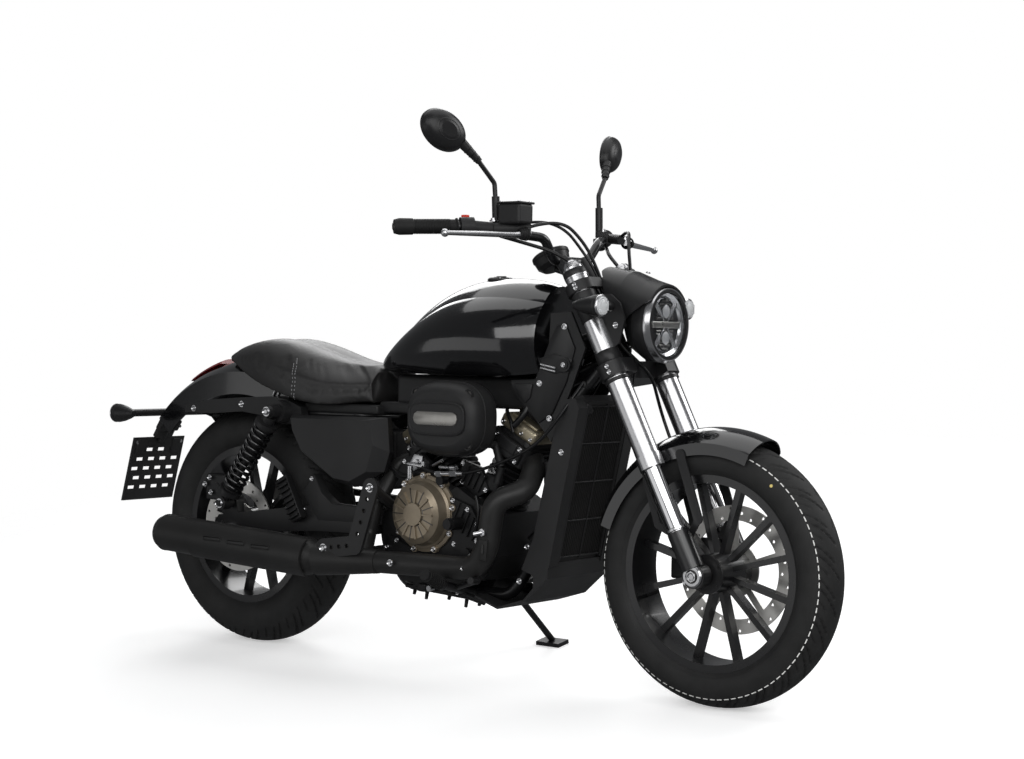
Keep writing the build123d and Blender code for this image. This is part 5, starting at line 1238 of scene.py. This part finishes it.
# %% Pedals and cowl bolts
bm = bmesh.new()
peg_a, peg_b = Vector((88, -216, 236)), Vector((96, -290, 266))
peg_way = (peg_b - peg_a).normalized()
for k in range(8):
    turned(bm, [(13, -2), (15.4, -1.4), (15.4, 1.4), (13, 2)], peg_a + peg_way * (12 + 8.4 * k), peg_way, 28)
both(bm)
piece("peg_rubbers", bm, "chassis", grip_rubber)
bm = bmesh.new()
rod(bm, (-10, -96, 212), (60, -150, 216), 7)
rod(bm, (60, -150, 216), (176, -196, 250), 6.5)
rod(bm, (176, -196, 250), (184, -232, 254), 8)
brick(bm, (40, -184, 232), (7, 7, 46), soft=2)
piece("brake_pedal", bm, "chassis", satin_black)
bm = bmesh.new()
rod(bm, (-40, 128, 262), (-40, 152, 262), 8)
rod(bm, (-40, 150, 262), (70, 160, 236), 5)
rod(bm, (70, 160, 236), (170, 176, 250), 6)
rod(bm, (170, 170, 250), (170, 212, 252), 8)
piece("gear_lever", bm, "chassis", satin_black)
bm = bmesh.new()
rod(bm, (39, -190, 250), (39, -190, 216), 4.4)
rod(bm, (39, -190, 222), (39, -206, 221), 7)
for x, y, z in ((-21, -120, 214), (56, -120, 207), (241, -122, 249), (354, -122, 552), (262, -122, 330)):
    socket_bolt(bm, (x, y, z), (0, -1, 0), 5, 5)
for x, z in ((-450, 598), (-170, 596), (-300, 462)):
    socket_bolt(bm, (x, -153.5 if z > 500 else -152, z), (0, -1, 0), 0.1, 0.1)
piece("lower_bolts", bm, "chassis", bright_steel)
bm = bmesh.new()
brick(bm, (-4, -112, 214), (148, 26, 13), Matrix.Rotation(0.04, 4, "Y"), 4)
brick(bm, (46, -150, 216), (30, 60, 10), soft=3)
brick(bm, (-30, -132, 212), (26, 34, 20), soft=4)
rod(bm, (-120, -96, 206), (90, -110, 196), 6)
rod(bm, (70, -120, 204), (128, -104, 188), 8)
for x, z, length in ((-96, 200, 13), (-58, 198, 20), (12, 196, 12), (64, 192, 22), (104, 190, 12)):
    rod(bm, (x, -92, z), (x + 3, -100, z - length), 5, 4)
piece("lower_brackets", bm, "chassis", cast_black)

# %% [markdown]
# ## Cables and hoses
# Every cable here is held at both ends, so each is a short fixed curve. The ones that turn with the
# fork end at the headlight, and the clutch cable ends at a clip on the neck cover.

# %% Cables
CABLES = (  # name, radius, body, points
    ("clutch_cable", 4.0, "chassis", ((388, -86, 712), (374, -116, 672), (350, -136, 624), (300, -146, 566),
     (223, -152, 528), (134, -158, 497), (80, -162, 490), (14, -166, 487), (-20, -166, 500))),
    ("throttle_cable", 3.4, "steering", ((246, -196, 1062), (300, -166, 1078), (352, -124, 1062),
     (376, -84, 1010), (402, -66, 962), (414, -54, 915), (432, -42, 868), (452, -30, 852))),
    ("right_wiring", 4.2, "steering", ((236, -210, 1040), (276, -160, 1024), (310, -118, 1010),
     (352, -92, 984), (398, -76, 950), (416, -62, 905), (434, -50, 862), (454, -40, 846))),
    ("left_wiring", 4.2, "steering", ((236, 210, 1040), (276, 160, 1024), (310, 118, 1010),
     (352, 92, 984), (398, 76, 950), (416, 62, 905), (434, 50, 862), (454, 40, 846))),
    ("clutch_cable_upper", 4.0, "steering", ((300, 188, 1060), (346, 150, 1074), (380, 96, 1030),
     (404, 72, 966), (412, 56, 912), (420, 44, 868), (430, 30, 820), (434, 22, 790))),
    ("brake_hose", 3.8, "steering", ((300, -186, 1060), (350, -140, 1082), (386, -92, 1030),
     (408, -64, 962), (418, -46, 905), (426, -38, 860), (446, -34, 800), (488, -10, 758), (502, 24, 722),
     (494, 60, 672), tuple(on_leg(385, 84, -38)), tuple(on_leg(300, 84, -42)), tuple(on_leg(210, 84, -48)),
     tuple(on_leg(130, 84, -80)))),
    ("speed_sensor_wire", 2.6, "steering", ((480, -20, 770), (500, -44, 720), (496, -66, 672),
     tuple(on_leg(385, -84, -38)), tuple(on_leg(280, -86, -38)), tuple(on_leg(180, -84, -40)),
     tuple(on_leg(60, -80, -34)))),
    ("breather_hose", 8.0, "chassis", ((210, -70, 688), (232, -84, 660), (226, -96, 628), (204, -104, 606))),
    ("cooling_hose", 13.0, "chassis", ((268, 40, 420), (238, 20, 392), (214, 0, 356), (190, -10, 330))),
    ("cooling_hose_upper", 12.0, "chassis", ((330, 60, 628), (296, 66, 640), (250, 60, 634), (216, 30, 612))),
    ("spark_lead", 4.6, "chassis", ((150, -60, 640), (168, -84, 634), (192, -96, 612), (196, -96, 590))),
    ("oil_line", 4.0, "chassis", ((128, -146, 440), (142, -150, 410), (138, -150, 376), (126, -144, 350))),
    ("wiring_loom", 5.0, "chassis", ((-180, -100, 500), (-150, -120, 486), (-110, -132, 470),
     (-70, -134, 478), (-30, -132, 490))),
)
for name, radius, body, points in CABLES:
    cable(name, points, radius, body, cable_skin)
bm = bmesh.new()
rod(bm, (100, -161, 492), (22, -166, 487), 5.8, sides=12)
rod(bm, (84, -162, 491), (64, -163, 489.5), 7.5, sides=6)
rod(bm, (40, -165, 488), (26, -166, 487), 7.5, sides=6)
piece("cable_adjuster", bm, "chassis", bright_steel)
bm = bmesh.new()
brick(bm, (388, -84, 706), (12, 10, 14), soft=3)
brick(bm, (436, 20, 786), (14, 14, 16), soft=4)
piece("cable_clips", bm, "chassis", matt_plastic)

# %% [markdown]
# ## Tank fittings
# A locking cap sits on top of the tank.

# %% Tank cap
bm = bmesh.new()
turned(bm, [(0, 6), (18, 6), (20, 4), (30, 3.4), (33, 0), (33, -12)], (80, 0, 949), (0.03, 0, 1), 56)
brick(bm, (80, 0, 956), (26, 7, 3), soft=1)
piece("tank_cap", bm, "chassis", satin_black)
bm = bmesh.new()
for k in range(6):
    turn = radians(60 * k)
    rod(bm, (80 + 25 * cos(turn), 25 * sin(turn), 951), (80 + 25 * cos(turn), 25 * sin(turn), 954), 3)
piece("tank_cap_screws", bm, "chassis", bright_steel)
print("trim made")

# %% [markdown]
# ## Gaps closed by small parts
# Between the big castings there are always brackets, housings and moulded guards. They are simple blocks
# here, but they stop daylight from showing where a real machine is packed full.

# %% Guards, housings and brackets
bm = bmesh.new()
plank(bm, [(-440, 413), (-398, 462), (-372, 417), (-336, 392), (-172, 388), (-176, 350), (-383, 345)],
      -104, -133, 5)
brick(bm, (-345, 0, 627), (246, 196, 24), soft=6)
brick(bm, (-176, 0, 634), (120, 150, 28), soft=6)
brick(bm, (212, -20, 648), (84, 44, 84), soft=6)
brick(bm, (145, -34, 526), (66, 40, 72), soft=6)
rod(bm, (288, -66, 428), (276, -60, 524), 15)
piece("guards", bm, "chassis", matt_plastic)

bm = bmesh.new()
REGULATOR = Vector((-460, -147, 398))
lay = Matrix.Rotation(radians(62), 4, "Y")
brick(bm, REGULATOR, (118, 24, 36), lay, 2)
for k in range(8):
    at = REGULATOR + lay @ Vector((-49 + 14 * k, -15, 0))
    brick(bm, at, (5, 10, 34), lay, 1)
plank(bm, [(56, 520), (112, 504), (138, 452), (98, 430), (50, 466)], -98, -110, 3)
for k in range(4):
    brick(bm, (70 + 16 * k, -112, 486 - 7 * k), (4, 8, 44), Matrix.Rotation(0.5, 4, "Y"), 1)
plank(bm, [(-140, 470), (-104, 520), (-60, 532), (-30, 510), (-40, 470), (-100, 452)], -112, -126, 4)
rod(bm, (150, -104, 560), (176, -112, 508), 9)
rod(bm, (176, -112, 508), (168, -118, 470), 9)
brick(bm, (140, -96, 470), (46, 20, 40), Matrix.Rotation(0.3, 4, "Y"), 5)
piece("small_housings", bm, "chassis", cast_black)

screws = bmesh.new()
bright = bmesh.new()
bolt_row(screws, ((60, 512), (108, 496), (128, 452), (58, 468)), -110, -1, 4, 4)
bolt_row(screws, ((-108, 508), (-66, 522), (-44, 484), (-96, 464)), -126, -1, 4, 4)
bolt_row(screws, ((-789, 431), (-806, 413), (-784, 392), (-758, 362)), -112, -1, 5, 6)
bolt_row(screws, ((-430, 372), (-480, 430), (-404, 450)), -134, -1, 4, 4)
socket_bolt(screws, (-215, -134, 352), (0, -1, 0), 13, 8)
socket_bolt(screws, (-215, 134, 352), (0, 1, 0), 13, 8)
plank(bright, [(-92, 500), (-74, 528), (-48, 524), (-52, 496), (-78, 486)], -127, -131, 1.5)
rod(bright, (-64, -131, 508), (-64, -140, 508), 8)
rod(bright, (-24, -120, 502), (8, -126, 516), 4)
rod(bright, (140, -106, 514), (158, -112, 492), 3.5)
piece("housing_screws", screws, "chassis", bright_steel)
piece("throttle_bits", bright, "chassis", fork_alloy)

# %% [markdown]
# ## Left side
# The left side has its own dress: bolts round the generator cover and the chain guard.

# %% Left side dress
bm = bmesh.new()
for k in range(8):
    turn = radians(45 * k + 10)
    socket_bolt(bm, (60 + 74 * cos(turn), 138, 330 + 74 * sin(turn)), (0, 1, 0), 4.5, 5)
bolt_row(bm, ((-150, 300), (-60, 252), (120, 250), (-40, 440)), 128, 1, 4.5, 5)
piece("generator_bolts", bm, "chassis", bright_steel)
bm = bmesh.new()
plank(bm, [(-700, 432), (-640, 424), (-560, 408), (-330, 398), (-330, 388), (-560, 396), (-640, 411),
           (-700, 418)], 86, 106, 2)
piece("chain_guard", bm, "chassis", matt_plastic)
print("all dressed")

# %% [markdown]
# ## Floor, light and camera
# The studio is white, but a black machine only reads by what it mirrors, so the surroundings that it
# reflects stay dark and a few large soft lamps draw its edges. The camera stands to the front right.

# %% Studio
scene = bpy.context.scene
scene.view_settings.view_transform = "Standard"
floor_paint = finish("pale_floor", (0.86, 0.86, 0.86), (0.90, 0.90, 0.90), 0.55, 0.65, grain=40,
                     depth=0.0, patch=2, dust=0.0)
tree = floor_paint.node_tree
paint = tree.nodes["Principled BSDF"]
where = add(tree, "TexCoord")
reach = add(tree, "VectorMath")
reach.operation = "LENGTH"
fade = add(tree, "MapRange", From_Min=1.5, From_Max=2.9, To_Min=1.0, To_Max=0.0)
join(tree, (where, "Object", reach, 0), (reach, "Value", fade, "Value"), (fade, "Result", paint, "Alpha"))
floor_ray = add(tree, "LightPath")
glow = add(tree, "Math")
glow.operation = "MULTIPLY"
glow.inputs[1].default_value = 0.42
constants(paint, Emission_Color=(1, 1, 1, 1))
join(tree, (floor_ray, "Is Camera Ray", glow, 0), (glow, "Value", paint, "Emission Strength"))
bm = bmesh.new()
bmesh.ops.create_grid(bm, x_segments=1, y_segments=1, size=3.2)
floor_mesh = bpy.data.meshes.new("floor")
bm.to_mesh(floor_mesh)
bm.free()
floor = bpy.data.objects.new("floor", floor_mesh)
scene.collection.objects.link(floor)
floor_mesh.materials.append(floor_paint)
floor.visible_glossy = False

world = bpy.data.worlds.new("studio")
world.use_nodes = True
scene.world = world
tree = world.node_tree
sky = constants(tree.nodes["Background"], Color=(0.95, 0.97, 1.0, 1), Strength=0.14)
seen = add(tree, "Background", Color=(1, 1, 1, 1), Strength=1.0)
chooser = add(tree, "MixShader")
ray = add(tree, "LightPath")
join(tree, (ray, "Is Camera Ray", chooser, "Fac"), (sky, "Background", chooser, 1),
     (seen, "Background", chooser, 2), (chooser, "Shader", tree.nodes["World Output"], "Surface"))

LAMPS = (  # name, place, aim, width, height, watts
    ("overhead", (0.0, 0.6, 3.0), (0.0, 0.0, 0.4), 3.8, 2.6, 42),
    ("front_right", (3.4, -2.0, 2.2), (0.3, 0.0, 0.6), 2.8, 2.6, 72),
    ("right_strip", (1.3, -3.9, 2.9), (0.0, 0.0, 0.5), 3.8, 1.8, 58),
    ("right_low", (-1.6, -3.4, 0.9), (-0.1, 0.0, 0.4), 3.6, 1.6, 13),
    ("front_left", (2.4, 2.6, 2.2), (0.3, 0.0, 0.6), 1.8, 1.8, 50),
    ("rear_left", (-2.2, 2.6, 2.4), (-0.2, 0.0, 0.6), 2.0, 2.0, 45),
)
for name, at, aim, width, height, watts in LAMPS:
    lamp = bpy.data.lights.new(name, "AREA")
    lamp.shape = "RECTANGLE"
    lamp.size = width
    lamp.size_y = height
    lamp.energy = watts
    holder = bpy.data.objects.new(name, lamp)
    holder.location = at
    holder.rotation_euler = (Vector(aim) - Vector(at)).to_track_quat("-Z", "Y").to_euler()
    scene.collection.objects.link(holder)

camera_data = bpy.data.cameras.new("camera")
camera_data.sensor_width = 36
camera_data.lens = 68.95
camera = bpy.data.objects.new("camera", camera_data)
scene.collection.objects.link(camera)
eye = STAND_UP @ Vector((2953.3, -3730.5, 804.7))
lean_turn = Matrix.Rotation(-LEAN, 3, "X")
right = lean_turn @ Vector((0.7957, 0.6054, 0.0170))
up = lean_turn @ Vector((-0.0257, 0.0057, 0.9997))
back = right.cross(up)
camera.matrix_world = Matrix.Translation(eye) @ Matrix((right, up, back)).transposed().to_4x4()
scene.camera = camera
